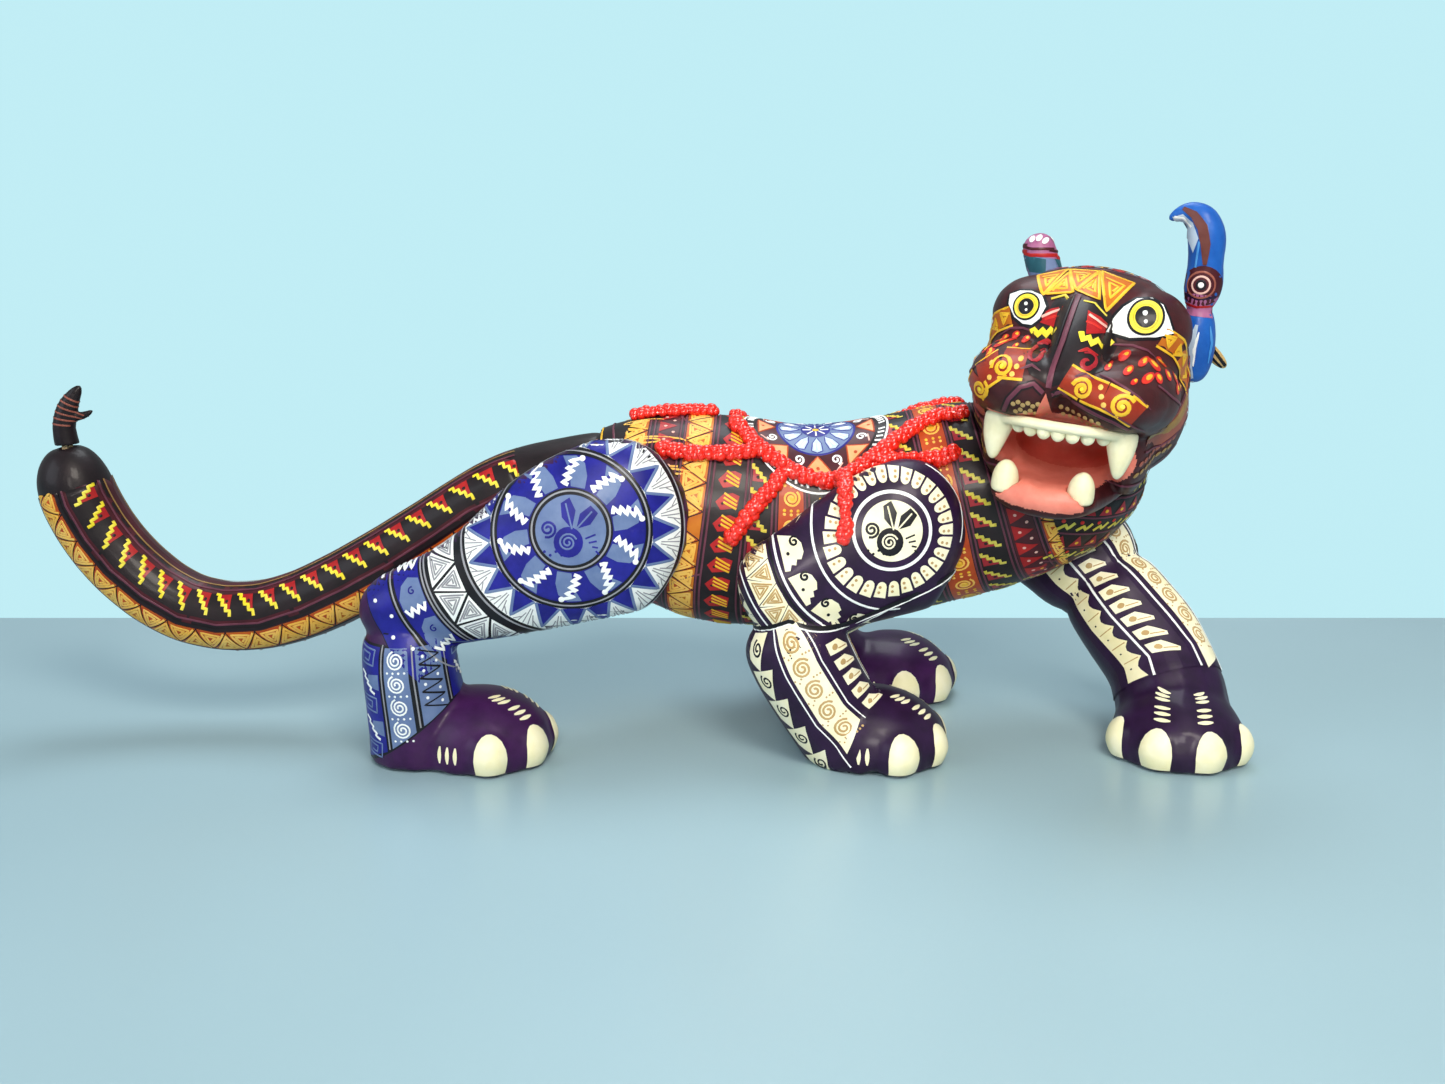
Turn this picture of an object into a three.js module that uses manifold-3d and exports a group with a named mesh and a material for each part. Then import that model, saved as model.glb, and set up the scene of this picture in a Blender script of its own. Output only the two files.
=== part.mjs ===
import * as THREE from "three";
import { mergeVertices } from "three/addons/utils/BufferGeometryUtils.js";
import Module from "manifold-3d";

const wasm = await Module();
wasm.setup();

// ---- Driving dimensions, mm. X runs tail to head, -Y is the near side, Z is up from the table ----
const bodyRise = 102; // torso axis above the table at mid-length
const bodyHalfWidth = 42; // torso, axis to side
const bodyHalfHeight = 50; // torso, axis to belly at its deepest
const neckHalfWidth = 38.6; // where the neck runs up inside the head
const neckHalfHeight = 38;
const shoulderX = 72; // near front leg's medallion
const hipX = -58; // near hind leg's medallion
const nearLegY = -42; // near pair of legs, paw centre line
const farHindY = 57; // far hind paw centre line
const farFrontY = -38; // far front paw, which strides round in front
const pawHalfLength = 36;
const pawHalfWidth = 33;
const pawHeight = 34;
const shankRadius = 22.5;
const tailRadius = 17.5;
const tailRootX = -60;
const headCentre = new THREE.Vector3(163, -22, bodyRise + 69);
const headYaw = THREE.MathUtils.degToRad(-20);
const headRoll = THREE.MathUtils.degToRad(7);
const dowelRadius = 4;
const pegRadius = 2.5;
const gap = 0.3; // clearance between neighbouring pieces
const beadRadius = 3.6; // red relief strands
const centreX = -39.15; // middle of the whole figure, moved to the origin
const centreY = -6.66;

const sideways = new THREE.Vector3(0, 1, 0);
const across = new THREE.Vector3(1, 0, 0);

// ---- Shape helpers ----
function bare(geometry) {
  const copy = geometry.clone();
  copy.deleteAttribute("normal");
  copy.deleteAttribute("uv");
  return mergeVertices(copy, 1e-4);
}

function solid(geometry) {
  const clean = bare(geometry);
  const mesh = new wasm.Mesh({
    numProp: 3,
    vertProperties: new Float32Array(clean.getAttribute("position").array),
    triVerts: new Uint32Array(clean.index.array),
  });
  return new wasm.Manifold(mesh);
}

function joined(parts) {
  return parts.reduce((whole, part) => whole.add(part));
}

// Rounded body along a curve. Each station is [x, y, z, half width, half height].
function makePath(stations) {
  const spine = new THREE.CatmullRomCurve3(stations.map((s) => new THREE.Vector3(s[0], s[1], s[2])));
  const sizes = new THREE.CatmullRomCurve3(stations.map((s) => new THREE.Vector3(s[3], s[4], 0)));
  return { spine, sizes };
}

function framesAt(path, t, reference) {
  const centre = path.spine.getPoint(t);
  const tangent = path.spine.getTangent(t);
  const side = reference.clone().addScaledVector(tangent, -tangent.dot(reference)).normalize();
  const over = new THREE.Vector3().crossVectors(tangent, side);
  return { centre, tangent, side, over };
}

function capFactor(t, caps) {
  const start = Math.min(1, t / caps[0]);
  const end = Math.min(1, (1 - t) / caps[1]);
  const near = Math.min(start, end);
  return { scale: Math.sqrt(Math.max(0, 1 - (1 - near) ** 2)), push: start < end ? start - 1 : 1 - end };
}

function sweep(stations, detail, caps, reference = sideways, grow = 0) {
  const path = makePath(stations);
  const shape = bare(new THREE.SphereGeometry(1, detail[1], detail[0]));
  const points = shape.getAttribute("position");
  for (let i = 0; i < points.count; i += 1) {
    const unit = new THREE.Vector3().fromBufferAttribute(points, i);
    const u = Math.acos(THREE.MathUtils.clamp(unit.y, -1, 1)) / Math.PI;
    const t = THREE.MathUtils.clamp(u - 0.09 * Math.sin(2 * Math.PI * u), 0, 1);
    const frame = framesAt(path, t, reference);
    const size = path.sizes.getPoint(t);
    const cap = capFactor(t, caps);
    const turn = Math.atan2(unit.z, unit.x);
    const ring = unit.x * unit.x + unit.z * unit.z > 1e-8 ? cap.scale : 0;
    frame.centre.addScaledVector(frame.side, Math.cos(turn) * (size.x + grow) * ring);
    frame.centre.addScaledVector(frame.over, Math.sin(turn) * (size.y + grow) * ring);
    frame.centre.addScaledVector(frame.tangent, cap.push * grow);
    points.setXYZ(i, frame.centre.x, frame.centre.y, frame.centre.z);
  }
  return shape;
}

function ball(centre, radii, detail = [10, 14], grow = 0) {
  const shape = new THREE.SphereGeometry(1, detail[1], detail[0]);
  shape.scale(radii[0] + grow, radii[1] + grow, radii[2] + grow);
  shape.translate(centre[0], centre[1], centre[2]);
  return shape;
}

function rod(from, to, radius, extra = 0, sides = 16) {
  const along = new THREE.Vector3().subVectors(to, from);
  const shape = new THREE.CylinderGeometry(radius, radius, along.length() + 2 * extra, sides);
  const turn = new THREE.Quaternion().setFromUnitVectors(sideways, along.clone().normalize());
  shape.applyQuaternion(turn);
  shape.translate((from.x + to.x) / 2, (from.y + to.y) / 2, (from.z + to.z) / 2);
  return shape;
}

function underTable() {
  const block = new THREE.BoxGeometry(800, 400, 60);
  block.translate(0, 0, -30);
  return solid(block);
}

// ---- Torso: rump to neck, the neck curving up into the head ----
function torsoStations() {
  const w = bodyHalfWidth;
  const h = bodyHalfHeight;
  return [
    [tailRootX - 14, 0, bodyRise + 12, 0.62 * w, 0.5 * h],
    [hipX, 0, bodyRise + 10, 0.8 * w, 0.72 * h],
    [-30, 0, bodyRise + 7, 0.95 * w, 0.9 * h],
    [0, 0, bodyRise + 1, w, h],
    [32, 0, bodyRise - 2, 0.98 * w, 0.95 * h],
    [shoulderX - 4, 0, bodyRise + 1, 0.95 * w, 0.93 * h],
    [104, -1, bodyRise + 9, 0.93 * w, 0.94 * h],
    [136, -4, bodyRise + 16, neckHalfWidth + 1.3, neckHalfHeight + 5],
    [161, -8, bodyRise + 28, neckHalfWidth, neckHalfHeight],
    [170, -8, bodyRise + 46, neckHalfWidth - 7, neckHalfHeight - 10],
  ];
}

function torsoForm(grow) {
  return solid(sweep(torsoStations(), [28, 24], [0.09, 0.06], sideways, grow));
}

// ---- Head: modelled upright facing -Y, then turned and rolled into place ----
function placeHead(geometry) {
  geometry.rotateY(headRoll);
  geometry.rotateZ(headYaw);
  geometry.translate(headCentre.x, headCentre.y, headCentre.z);
  return geometry;
}

function headPoint(x, y, z) {
  const point = new THREE.Vector3(x, y, z);
  point.applyAxisAngle(sideways, headRoll);
  point.applyAxisAngle(new THREE.Vector3(0, 0, 1), headYaw);
  return point.add(headCentre);
}

function headForm(grow) {
  const lumps = [ball([0, 4, 7], [46, 44, 43], [12, 18], grow)];
  lumps.push(ball([0, -4, 32], [36, 34, 19], [7, 14], grow));
  lumps.push(ball([0, -6, -18], [38, 36, 28], [7, 14], grow));
  lumps.push(ball([0, -30, 0], [39, 34, 17], [8, 14], grow));
  lumps.push(ball([0, -14, 15], [43, 33, 30], [10, 16], grow));
  lumps.push(sweep([[0, -26, 36, 12, 8], [0, -43, 28, 11, 8], [0, -60, 12, 11, 8], [0, -70, -1, 13, 8]],
    [8, 12], [0.2, 0.2], across, grow));
  lumps.push(sweep([[0, 8, -30, 32, 22], [-1, -20, -41, 29, 14], [-3, -44, -46, 25, 9], [-4, -67, -47, 20, 8]],
    [9, 14], [0.1, 0.12], across, grow));
  for (const side of [-1, 1]) {
    lumps.push(ball([side * 29, -6, -10], [19, 32, 27], [7, 10], grow));
    lumps.push(ball([side * 28, -28, -24], [9, 22, 21], [7, 10], grow));
    lumps.push(ball([side * 23, -15, 27], [21, 22, 18], [8, 12], grow));
    lumps.push(ball([side * 25, -40, 0], [20, 30, 18], [8, 14], grow));
    lumps.push(ball([side * 20, -56, 0], [21, 21, 15], [7, 12], grow));
  }
  return joined(lumps.map((lump) => solid(placeHead(lump))));
}

function mouthCut() {
  const cavity = sweep([[0, -12, -24, 20, 7], [0, -34, -27, 25, 12], [0, -62, -27, 28, 14], [0, -96, -27, 34, 17]],
    [8, 14], [0.15, 0.05], across);
  return solid(placeHead(cavity));
}

// ---- Legs ----
function pawForm(x, y, heading, grow) {
  const parts = [];
  const turn = THREE.MathUtils.degToRad(heading);
  const body = ball([0, 0, 8], [pawHalfLength - 3, pawHalfWidth - 3, pawHeight - 8], [8, 14], grow);
  body.rotateZ(turn);
  body.translate(x, y, 0);
  parts.push(body);
  for (const spread of [-66, -22, 22, 66]) {
    const angle = turn + THREE.MathUtils.degToRad(spread);
    const reach = pawHalfLength - 13;
    const toe = ball([reach, 0, 9], [13, 11, 12], [6, 8], grow);
    toe.rotateZ(angle);
    toe.translate(x, y, 0);
    parts.push(toe);
  }
  return parts;
}

function legForm(upper, lower, paw, grow) {
  const parts = [sweep(upper, [13, 16], [0.2, 0.14], sideways, grow)];
  parts.push(sweep(lower, [9, 14], [0.16, 0.1], sideways, grow));
  parts.push(...pawForm(paw[0], paw[1], paw[2], grow));
  return joined(parts.map((part) => solid(part))).subtract(underTable());
}

function hindRightForm(grow) {
  const y = nearLegY;
  const r = shankRadius;
  const upper = [
    [hipX + 46, y + 6, bodyRise + 10, 13, 24],
    [hipX + 16, y + 1, bodyRise + 7, 20, 41],
    [hipX - 14, y - 1, bodyRise - 3, 20, 38],
    [hipX - 50, y - 3, bodyRise - 21, 19, 26],
    [hipX - 82, y - 6, bodyRise - 29, 17, 18],
    [hipX - 105, y - 7, bodyRise - 34, 14, 13],
  ];
  const lower = [
    [-141, y - 6, bodyRise - 32.6, r - 2, r - 3],
    [-141, y - 5, 0.45 * bodyRise, r, r - 1],
    [-139, y - 2, 0.2 * bodyRise, r + 1, r],
    [-138, y, 4, r + 2, r + 1],
    [-138, y, -12, r + 2, r + 1],
  ];
  return legForm(upper, lower, [-110, y, -9], grow);
}

function frontRightForm(grow) {
  const y = nearLegY;
  const r = shankRadius;
  const upper = [
    [shoulderX + 38, y + 7, bodyRise + 4, 12, 20],
    [shoulderX + 13, y + 1, bodyRise + 2, 20, 36],
    [shoulderX - 14, y - 1, bodyRise - 9, 20, 32],
    [shoulderX - 38, y - 3, bodyRise - 19, 19, 25],
    [shoulderX - 64, y - 5, bodyRise - 30, 17, 20],
  ];
  const lower = [
    [27, y - 4, bodyRise - 32.6, r - 1, r + 1],
    [35, y - 4, 0.48 * bodyRise, r, r + 1],
    [46, y - 2, 0.28 * bodyRise, r, r],
    [58, y, 10, r + 1, r],
    [64, y, -6, r + 1, r],
  ];
  return legForm(upper, lower, [70, y, -6], grow);
}

function hindLeftForm(grow) {
  const y = farHindY;
  const r = shankRadius;
  const upper = [
    [hipX, y - 23, bodyRise + 12, 14, 22],
    [hipX + 26, y - 17, bodyRise + 8, 20, 36],
    [hipX + 50, y - 14, bodyRise - 6, 20, 32],
    [hipX + 74, y - 9, bodyRise - 20, 19, 24],
    [hipX + 100, y - 6, bodyRise - 34, 16, 17],
  ];
  const lower = [
    [40, y - 6, bodyRise - 38.8, r - 2, r - 3],
    [43, y - 3, bodyRise - 59.2, r - 1, r - 2],
    [52, y - 1, 0.22 * bodyRise, r, r - 1],
    [66, y, 10, r, r - 1],
    [70, y, -6, r, r - 1],
  ];
  return legForm(upper, lower, [89, y, -18], grow);
}

function frontLeftForm(grow) {
  const y = farFrontY;
  const r = shankRadius;
  const upper = [
    [122, 38, bodyRise + 12, 16, 24],
    [142, 34, bodyRise + 3, 19, 32],
    [166, 27, bodyRise - 12, 21, 30],
    [190, 12, bodyRise - 38.8, 22, 25],
  ];
  const lower = [
    [180, 18, bodyRise - 24.5, r, r + 1],
    [196, 3, 0.54 * bodyRise, r, r + 3],
    [209, -14, 0.34 * bodyRise, r + 1, r + 4],
    [211, y + 8, 12, r + 3, r + 3],
    [211, y + 6, -8, r + 3, r + 3],
  ];
  return legForm(upper, lower, [210, y, -102], grow);
}

// ---- Tail ----
function tailStations() {
  const r = tailRadius;
  return [
    [tailRootX + 14, 0, bodyRise + 30, r - 3, r - 3],
    [tailRootX - 8, 0, bodyRise + 24.4, r - 0.5, r - 0.5],
    [tailRootX - 40, 0, bodyRise + 16.3, r, r],
    [-134, 0, bodyRise - 4, r, r],
    [-178, 0, bodyRise - 30, r, r],
    [-218, 0, bodyRise - 46, r, r - 0.5],
    [-256, 0, bodyRise - 43, r, r - 0.5],
    [-286, 0, bodyRise - 20, r, r],
    [-304, 0, bodyRise + 10, r, r],
    [-309, 0, bodyRise + 38, r - 1, r - 1],
  ];
}

function tailForm(grow) {
  return solid(sweep(tailStations(), [28, 16], [0.05, 0.09], sideways, grow));
}

function tailTipForm() {
  const spike = sweep([[-307, 0, bodyRise + 32, 5.5, 6], [-309, 0, bodyRise + 45, 5, 5.5],
    [-306, 0, bodyRise + 55, 4, 5], [-299, 0, bodyRise + 65, 1.2, 1.6]], [8, 10], [0.08, 0.1]);
  const thorn = sweep([[-306, 0, bodyRise + 50, 2.5, 2.5], [-300, 0, bodyRise + 50, 2, 2.2],
    [-294, 0, bodyRise + 53, 0.8, 0.8]], [5, 8], [0.2, 0.15]);
  return solid(spike).add(solid(thorn));
}

// ---- Ears ----
function rightEarForm(grow) {
  const stations = [[-22, 10, 34, 7, 7], [-27, 10, 46.2, 7.8, 7.8], [-31, 9.5, 55, 7.6, 7.6], [-34, 9, 61, 6.4, 6.8]];
  return solid(placeHead(sweep(stations, [10, 14], [0.1, 0.3], across, grow)));
}

function birdForm(grow) {
  const body = sweep([[44, 8, 5, 6, 6], [46, 6, 15, 7, 8], [45, 4, 26, 7.5, 9], [42, 3, 40, 6, 7]],
    [9, 12], [0.2, 0.15], across, grow);
  const beak = sweep([[42, 3, 34, 6, 5], [43, 2, 48, 8.5, 8.5], [42, 1, 58, 7.5, 7.6], [41, 0, 67, 8, 8.4],
    [38, 0, 74.5, 7, 7.6], [33, 0, 77.5, 5, 5.4], [28, 0, 76.6, 3, 3.4], [23.5, 0, 73.5, 1, 1.2]],
    [18, 12], [0.08, 0.04], sideways, grow);
  return solid(placeHead(body)).add(solid(placeHead(beak)));
}

function featherForm(grow) {
  return solid(placeHead(sweep([[49, 10, 22, 3, 2], [54, 12, 17, 3.4, 2.2], [59, 13, 13, 1.5, 1]],
    [6, 8], [0.15, 0.15], across, grow)));
}

// ---- Teeth ----
function upperTeethForm(grow) {
  const parts = [sweep([[-29, -36, -15, 2.5, 3], [-26.5, -56, -15, 2.5, 3], [-11, -69, -14, 2.5, 3.2],
    [11, -69, -14, 2.5, 3.2], [25, -56, -15, 2.5, 3], [27, -36, -15, 2.5, 3]], [14, 8], [0.03, 0.03],
    new THREE.Vector3(0, 0, 1), grow)];
  for (const side of [-1, 1]) {
    const fang = [[side * 25 - 1, -54, -13, 7.5, 7], [side * 26 - 1, -56, -22, 6, 6], [side * 26 - 1, -56, -34, 1.6, 1.8]];
    parts.push(sweep(fang, [7, 10], [0.1, 0.1], across, grow));
  }
  return joined(parts.map((part) => solid(placeHead(part))));
}

function lowerCanineForm(side, grow) {
  const x = side * 16 - 4;
  const stations = [[x, -56, -47, 6, 6], [x, -57, -39, 6, 6], [x + side * 0.5, -58, -32, 3.2, 3.2]];
  return solid(placeHead(sweep(stations, [7, 10], [0.1, 0.3], across, grow)));
}

// ---- Red relief: strands laid over the back. Each stop is [place along the torso, angle, lift] ----
function strand(stops, far, rings) {
  const torso = makePath(torsoStations());
  const stations = stops.map(([t, angle, lift]) => {
    const frame = framesAt(torso, t, sideways);
    const size = torso.sizes.getPoint(t);
    const turn = THREE.MathUtils.degToRad(far ? 180 - angle : angle);
    const rise = (lift ?? 0) + 1;
    const point = frame.centre.clone();
    point.addScaledVector(frame.side, Math.cos(turn) * (size.x + rise));
    point.addScaledVector(frame.over, Math.sin(turn) * (size.y + rise));
    return [point.x, point.y, point.z, beadRadius, beadRadius];
  });
  return solid(sweep(stations, [rings, 6], [0.06, 0.06], new THREE.Vector3(0.2, 0.3, 1)));
}

const saddleRun = [[0.73, 114], [0.7, 114], [0.66, 118], [0.62, 127], [0.57, 137], [0.525, 146], [0.48, 146],
  [0.415, 136], [0.37, 126], [0.34, 115], [0.32, 104]];
const hipRun = [[0.385, 128], [0.34, 134], [0.28, 137], [0.24, 138], [0.205, 134]];
const flankRun = [[0.43, 138], [0.395, 156], [0.375, 164], [0.36, 173], [0.34, 184]];
const dripRun = [[0.525, 143], [0.523, 150, 8], [0.52, 158, 16], [0.515, 168, 20], [0.505, 179, 21]];
const shoulderRun = [[0.555, 138], [0.6, 140], [0.64, 144], [0.675, 146], [0.7, 142]];
const ridgeRun = [[0.29, 90], [0.25, 91], [0.2, 90], [0.155, 90]];

function nearRelief() {
  return joined([strand(saddleRun, false, 24), strand(hipRun, false, 9), strand(flankRun, false, 8),
    strand(dripRun, false, 7), strand(shoulderRun, false, 8)]);
}

function farRelief() {
  return joined([strand(saddleRun, true, 24), strand(shoulderRun, true, 8)]);
}

// ---- Dowels and pegs: from, to, radius and the pieces each one joins ----
function dowelList() {
  const v = (x, y, z) => new THREE.Vector3(x, y, z);
  const legDowel = (x, near, z, leg) => {
    return [v(x, near ? -55 : 54, z), v(x, near ? -22 : 20, z), dowelRadius, ["torso", leg]];
  };
  return {
    dowel_neck: [v(150, -6, bodyRise + 20), headPoint(0, 4, -2), dowelRadius, ["torso", "head"]],
    dowel_hind_right: legDowel(hipX + 12, true, bodyRise + 6, "leg_hind_right"),
    dowel_front_right: legDowel(shoulderX + 6, true, bodyRise, "leg_front_right"),
    dowel_hind_left: legDowel(hipX + 28, false, bodyRise + 4, "leg_hind_left"),
    dowel_front_left: legDowel(142, false, bodyRise + 2, "leg_front_left"),
    tail_peg: [v(tailRootX - 32, 0, bodyRise + 18.3), v(tailRootX + 32, 0, bodyRise + 34.5), dowelRadius,
      ["torso", "tail"]],
    tail_tip_peg: [v(-307, 0, bodyRise + 16), v(-308.6, 0, bodyRise + 46), pegRadius, ["tail", "tail_tip"]],
    ear_left_peg: [headPoint(27, 4, 20), headPoint(46, 4, 20), pegRadius, ["head", "ear_left_bird"]],
    ear_right_peg: [headPoint(-18.3, 10, 25), headPoint(-27, 10, 46.2), pegRadius, ["head", "ear_right"]],
  };
}

// ---- Colours ----
const paint = {
  torso: [0x1c1216, 0.4],
  head: [0x3a161e, 0.38],
  hind: [0x1a1c8c, 0.38],
  front: [0x241330, 0.38],
  tail: [0x221418, 0.4],
  tip: [0x2a1a16, 0.5],
  bird: [0x1450a8, 0.35],
  feather: [0x8a7040, 0.45],
  ear: [0xa05a70, 0.4],
  tooth: [0xe6dfb4, 0.4],
  wood: [0xc9a878, 0.75],
  bead: [0xd81a14, 0.25],
};

const looks = {
  torso: "torso", head: "head", leg_hind_right: "hind", leg_hind_left: "hind", leg_front_right: "front",
  leg_front_left: "front", tail: "tail", tail_tip: "tip", ear_left_bird: "bird", bird_feather: "feather",
  ear_right: "ear", upper_teeth: "tooth", lower_canine_right: "tooth", lower_canine_left: "tooth",
  relief_near: "bead", relief_far: "bead", relief_ridge: "bead",
};

function makeMesh(name, body, look) {
  const out = body.getMesh();
  const geometry = new THREE.BufferGeometry();
  geometry.setAttribute("position", new THREE.BufferAttribute(new Float32Array(out.vertProperties), 3));
  geometry.setIndex(new THREE.BufferAttribute(new Uint32Array(out.triVerts), 1));
  geometry.computeVertexNormals();
  const material = new THREE.MeshStandardMaterial({ color: look[0], roughness: look[1], metalness: 0 });
  const mesh = new THREE.Mesh(geometry, material);
  mesh.name = name;
  return mesh;
}

function woodForms() {
  const torsoBig = torsoForm(gap);
  const headBig = headForm(gap);
  const tailBig = tailForm(gap);
  const legs = { leg_hind_right: hindRightForm, leg_front_right: frontRightForm, leg_hind_left: hindLeftForm,
    leg_front_left: frontLeftForm };
  const forms = { torso: torsoForm(0).subtract(headBig).subtract(tailBig) };
  forms.head = headForm(0).subtract(mouthCut());
  const setIn = [upperTeethForm(gap), rightEarForm(gap), birdForm(gap)];
  setIn.push(lowerCanineForm(-1, gap), lowerCanineForm(1, gap));
  setIn.forEach((part) => {
    forms.head = forms.head.subtract(part);
  });
  Object.entries(legs).forEach(([name, form]) => {
    forms[name] = form(0).subtract(torsoBig).subtract(headBig);
  });
  forms.tail = tailForm(0);
  forms.tail_tip = tailTipForm().subtract(tailBig);
  forms.ear_left_bird = birdForm(0);
  forms.bird_feather = featherForm(0).subtract(birdForm(gap));
  forms.ear_right = rightEarForm(0);
  forms.upper_teeth = upperTeethForm(0);
  forms.lower_canine_right = lowerCanineForm(-1, 0);
  forms.lower_canine_left = lowerCanineForm(1, 0);
  const covered = [torsoBig, headBig, ...Object.values(legs).map((form) => form(gap))];
  forms.relief_near = nearRelief();
  forms.relief_far = farRelief();
  forms.relief_ridge = strand(ridgeRun, false, 8);
  for (const name of ["relief_near", "relief_far", "relief_ridge"]) {
    covered.forEach((part) => {
      forms[name] = forms[name].subtract(part);
    });
  }
  return forms;
}

function build() {
  const forms = woodForms();
  for (const [name, [from, to, radius, joins]] of Object.entries(dowelList())) {
    const hole = solid(rod(from, to, radius + gap, gap));
    joins.forEach((piece) => {
      forms[piece] = forms[piece].subtract(hole);
    });
    forms[name] = solid(rod(from, to, radius));
  }
  const root = new THREE.Group();
  for (const [name, body] of Object.entries(forms)) {
    root.add(makeMesh(name, body, paint[looks[name] ?? "wood"]));
  }
  root.position.set(-centreX, -centreY, 0);
  return root;
}

export default build();
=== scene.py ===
import bpy
import math
import random
import bmesh
from mathutils import Vector, Matrix
from mathutils.bvhtree import BVHTree
from mathutils.geometry import delaunay_2d_cdt


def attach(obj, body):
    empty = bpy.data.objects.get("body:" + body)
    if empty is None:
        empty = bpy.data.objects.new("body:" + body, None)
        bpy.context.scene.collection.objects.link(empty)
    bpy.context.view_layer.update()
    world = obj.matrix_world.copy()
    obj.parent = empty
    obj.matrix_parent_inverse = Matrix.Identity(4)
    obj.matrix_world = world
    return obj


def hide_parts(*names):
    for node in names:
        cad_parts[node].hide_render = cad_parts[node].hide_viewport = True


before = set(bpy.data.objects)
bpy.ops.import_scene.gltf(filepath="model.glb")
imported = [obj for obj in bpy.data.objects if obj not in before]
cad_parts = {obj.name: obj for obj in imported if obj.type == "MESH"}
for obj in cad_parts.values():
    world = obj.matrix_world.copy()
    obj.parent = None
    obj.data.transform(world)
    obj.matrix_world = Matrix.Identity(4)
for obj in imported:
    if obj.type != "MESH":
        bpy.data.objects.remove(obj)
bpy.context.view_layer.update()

middleX = -39.15  # mm, the figure's middle in the carver's own layout, which the frame puts at the origin
middleY = -6.66


def spot(x, y, z):
    return Vector(((x - middleX) / 1000, (y - middleY) / 1000, z / 1000))


def linearColour(hexText, alpha=1.0):
    parts = [int(hexText[i:i + 2], 16) / 255 for i in (1, 3, 5)]
    return [p / 12.92 if p <= 0.04045 else ((p + 0.055) / 1.055) ** 2.4 for p in parts] + [alpha]


def addNode(tree, kind, settings=None, inputs=None, links=None):
    node = tree.nodes.new(kind)
    for key, value in (settings or {}).items():
        setattr(node, key, value)
    for key, value in (inputs or {}).items():
        node.inputs[key].default_value = value
    for key, source in (links or {}).items():
        tree.links.new(source, node.inputs[key])
    return node


def newMaterial(name):
    material = bpy.data.materials.new(name)
    material.use_nodes = True
    tree = material.node_tree
    tree.nodes.clear()
    place = addNode(tree, "ShaderNodeTexCoord")
    return material, tree, place.outputs["Object"]


def closeMaterial(tree, surface):
    addNode(tree, "ShaderNodeOutputMaterial", links={"Surface": surface})


# Acrylic brushed on sanded copal under a satin varnish: soft gloss over slightly uneven colour. A noise scale of
# 90 per metre gives blotches about 11 mm wide, and 900 gives brush marks about 1 mm wide.
varnishLook = {"blotches": 90, "brushMarks": 900, "brushDepth": 0.0003, "smoother": 0.05, "rougher": 0.08}


def varnishedAcrylic(name, hexMain, hexWorn, roughness=0.42, gloss=0.1):
    material, tree, where = newMaterial(name)
    blot = addNode(tree, "ShaderNodeTexNoise", links={"Vector": where},
                   inputs={"Scale": varnishLook["blotches"], "Detail": 4, "Roughness": 0.6})
    tone = addNode(tree, "ShaderNodeMix", {"data_type": "RGBA"},
                   {"A": linearColour(hexMain), "B": linearColour(hexWorn)})
    spread = addNode(tree, "ShaderNodeMapRange", inputs={"From Min": 0.35, "From Max": 0.75},
                     links={"Value": blot.outputs["Fac"]})
    tree.links.new(spread.outputs["Result"], tone.inputs["Factor"])
    brush = addNode(tree, "ShaderNodeTexNoise", inputs={"Scale": varnishLook["brushMarks"], "Detail": 2},
                    links={"Vector": where})
    bump = addNode(tree, "ShaderNodeBump", inputs={"Strength": 0.18, "Distance": varnishLook["brushDepth"]},
                   links={"Height": brush.outputs["Fac"]})
    matt = addNode(tree, "ShaderNodeMapRange", links={"Value": blot.outputs["Fac"]},
                   inputs={"To Min": roughness - varnishLook["smoother"],
                           "To Max": roughness + varnishLook["rougher"]})
    skin = addNode(tree, "ShaderNodeBsdfPrincipled",
                   inputs={"Coat Weight": gloss, "Coat Roughness": 0.12, "IOR": 1.33},
                   links={"Base Color": tone.outputs["Result"], "Roughness": matt.outputs["Result"],
                          "Normal": bump.outputs["Normal"]})
    closeMaterial(tree, skin.outputs["BSDF"])
    return material


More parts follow.
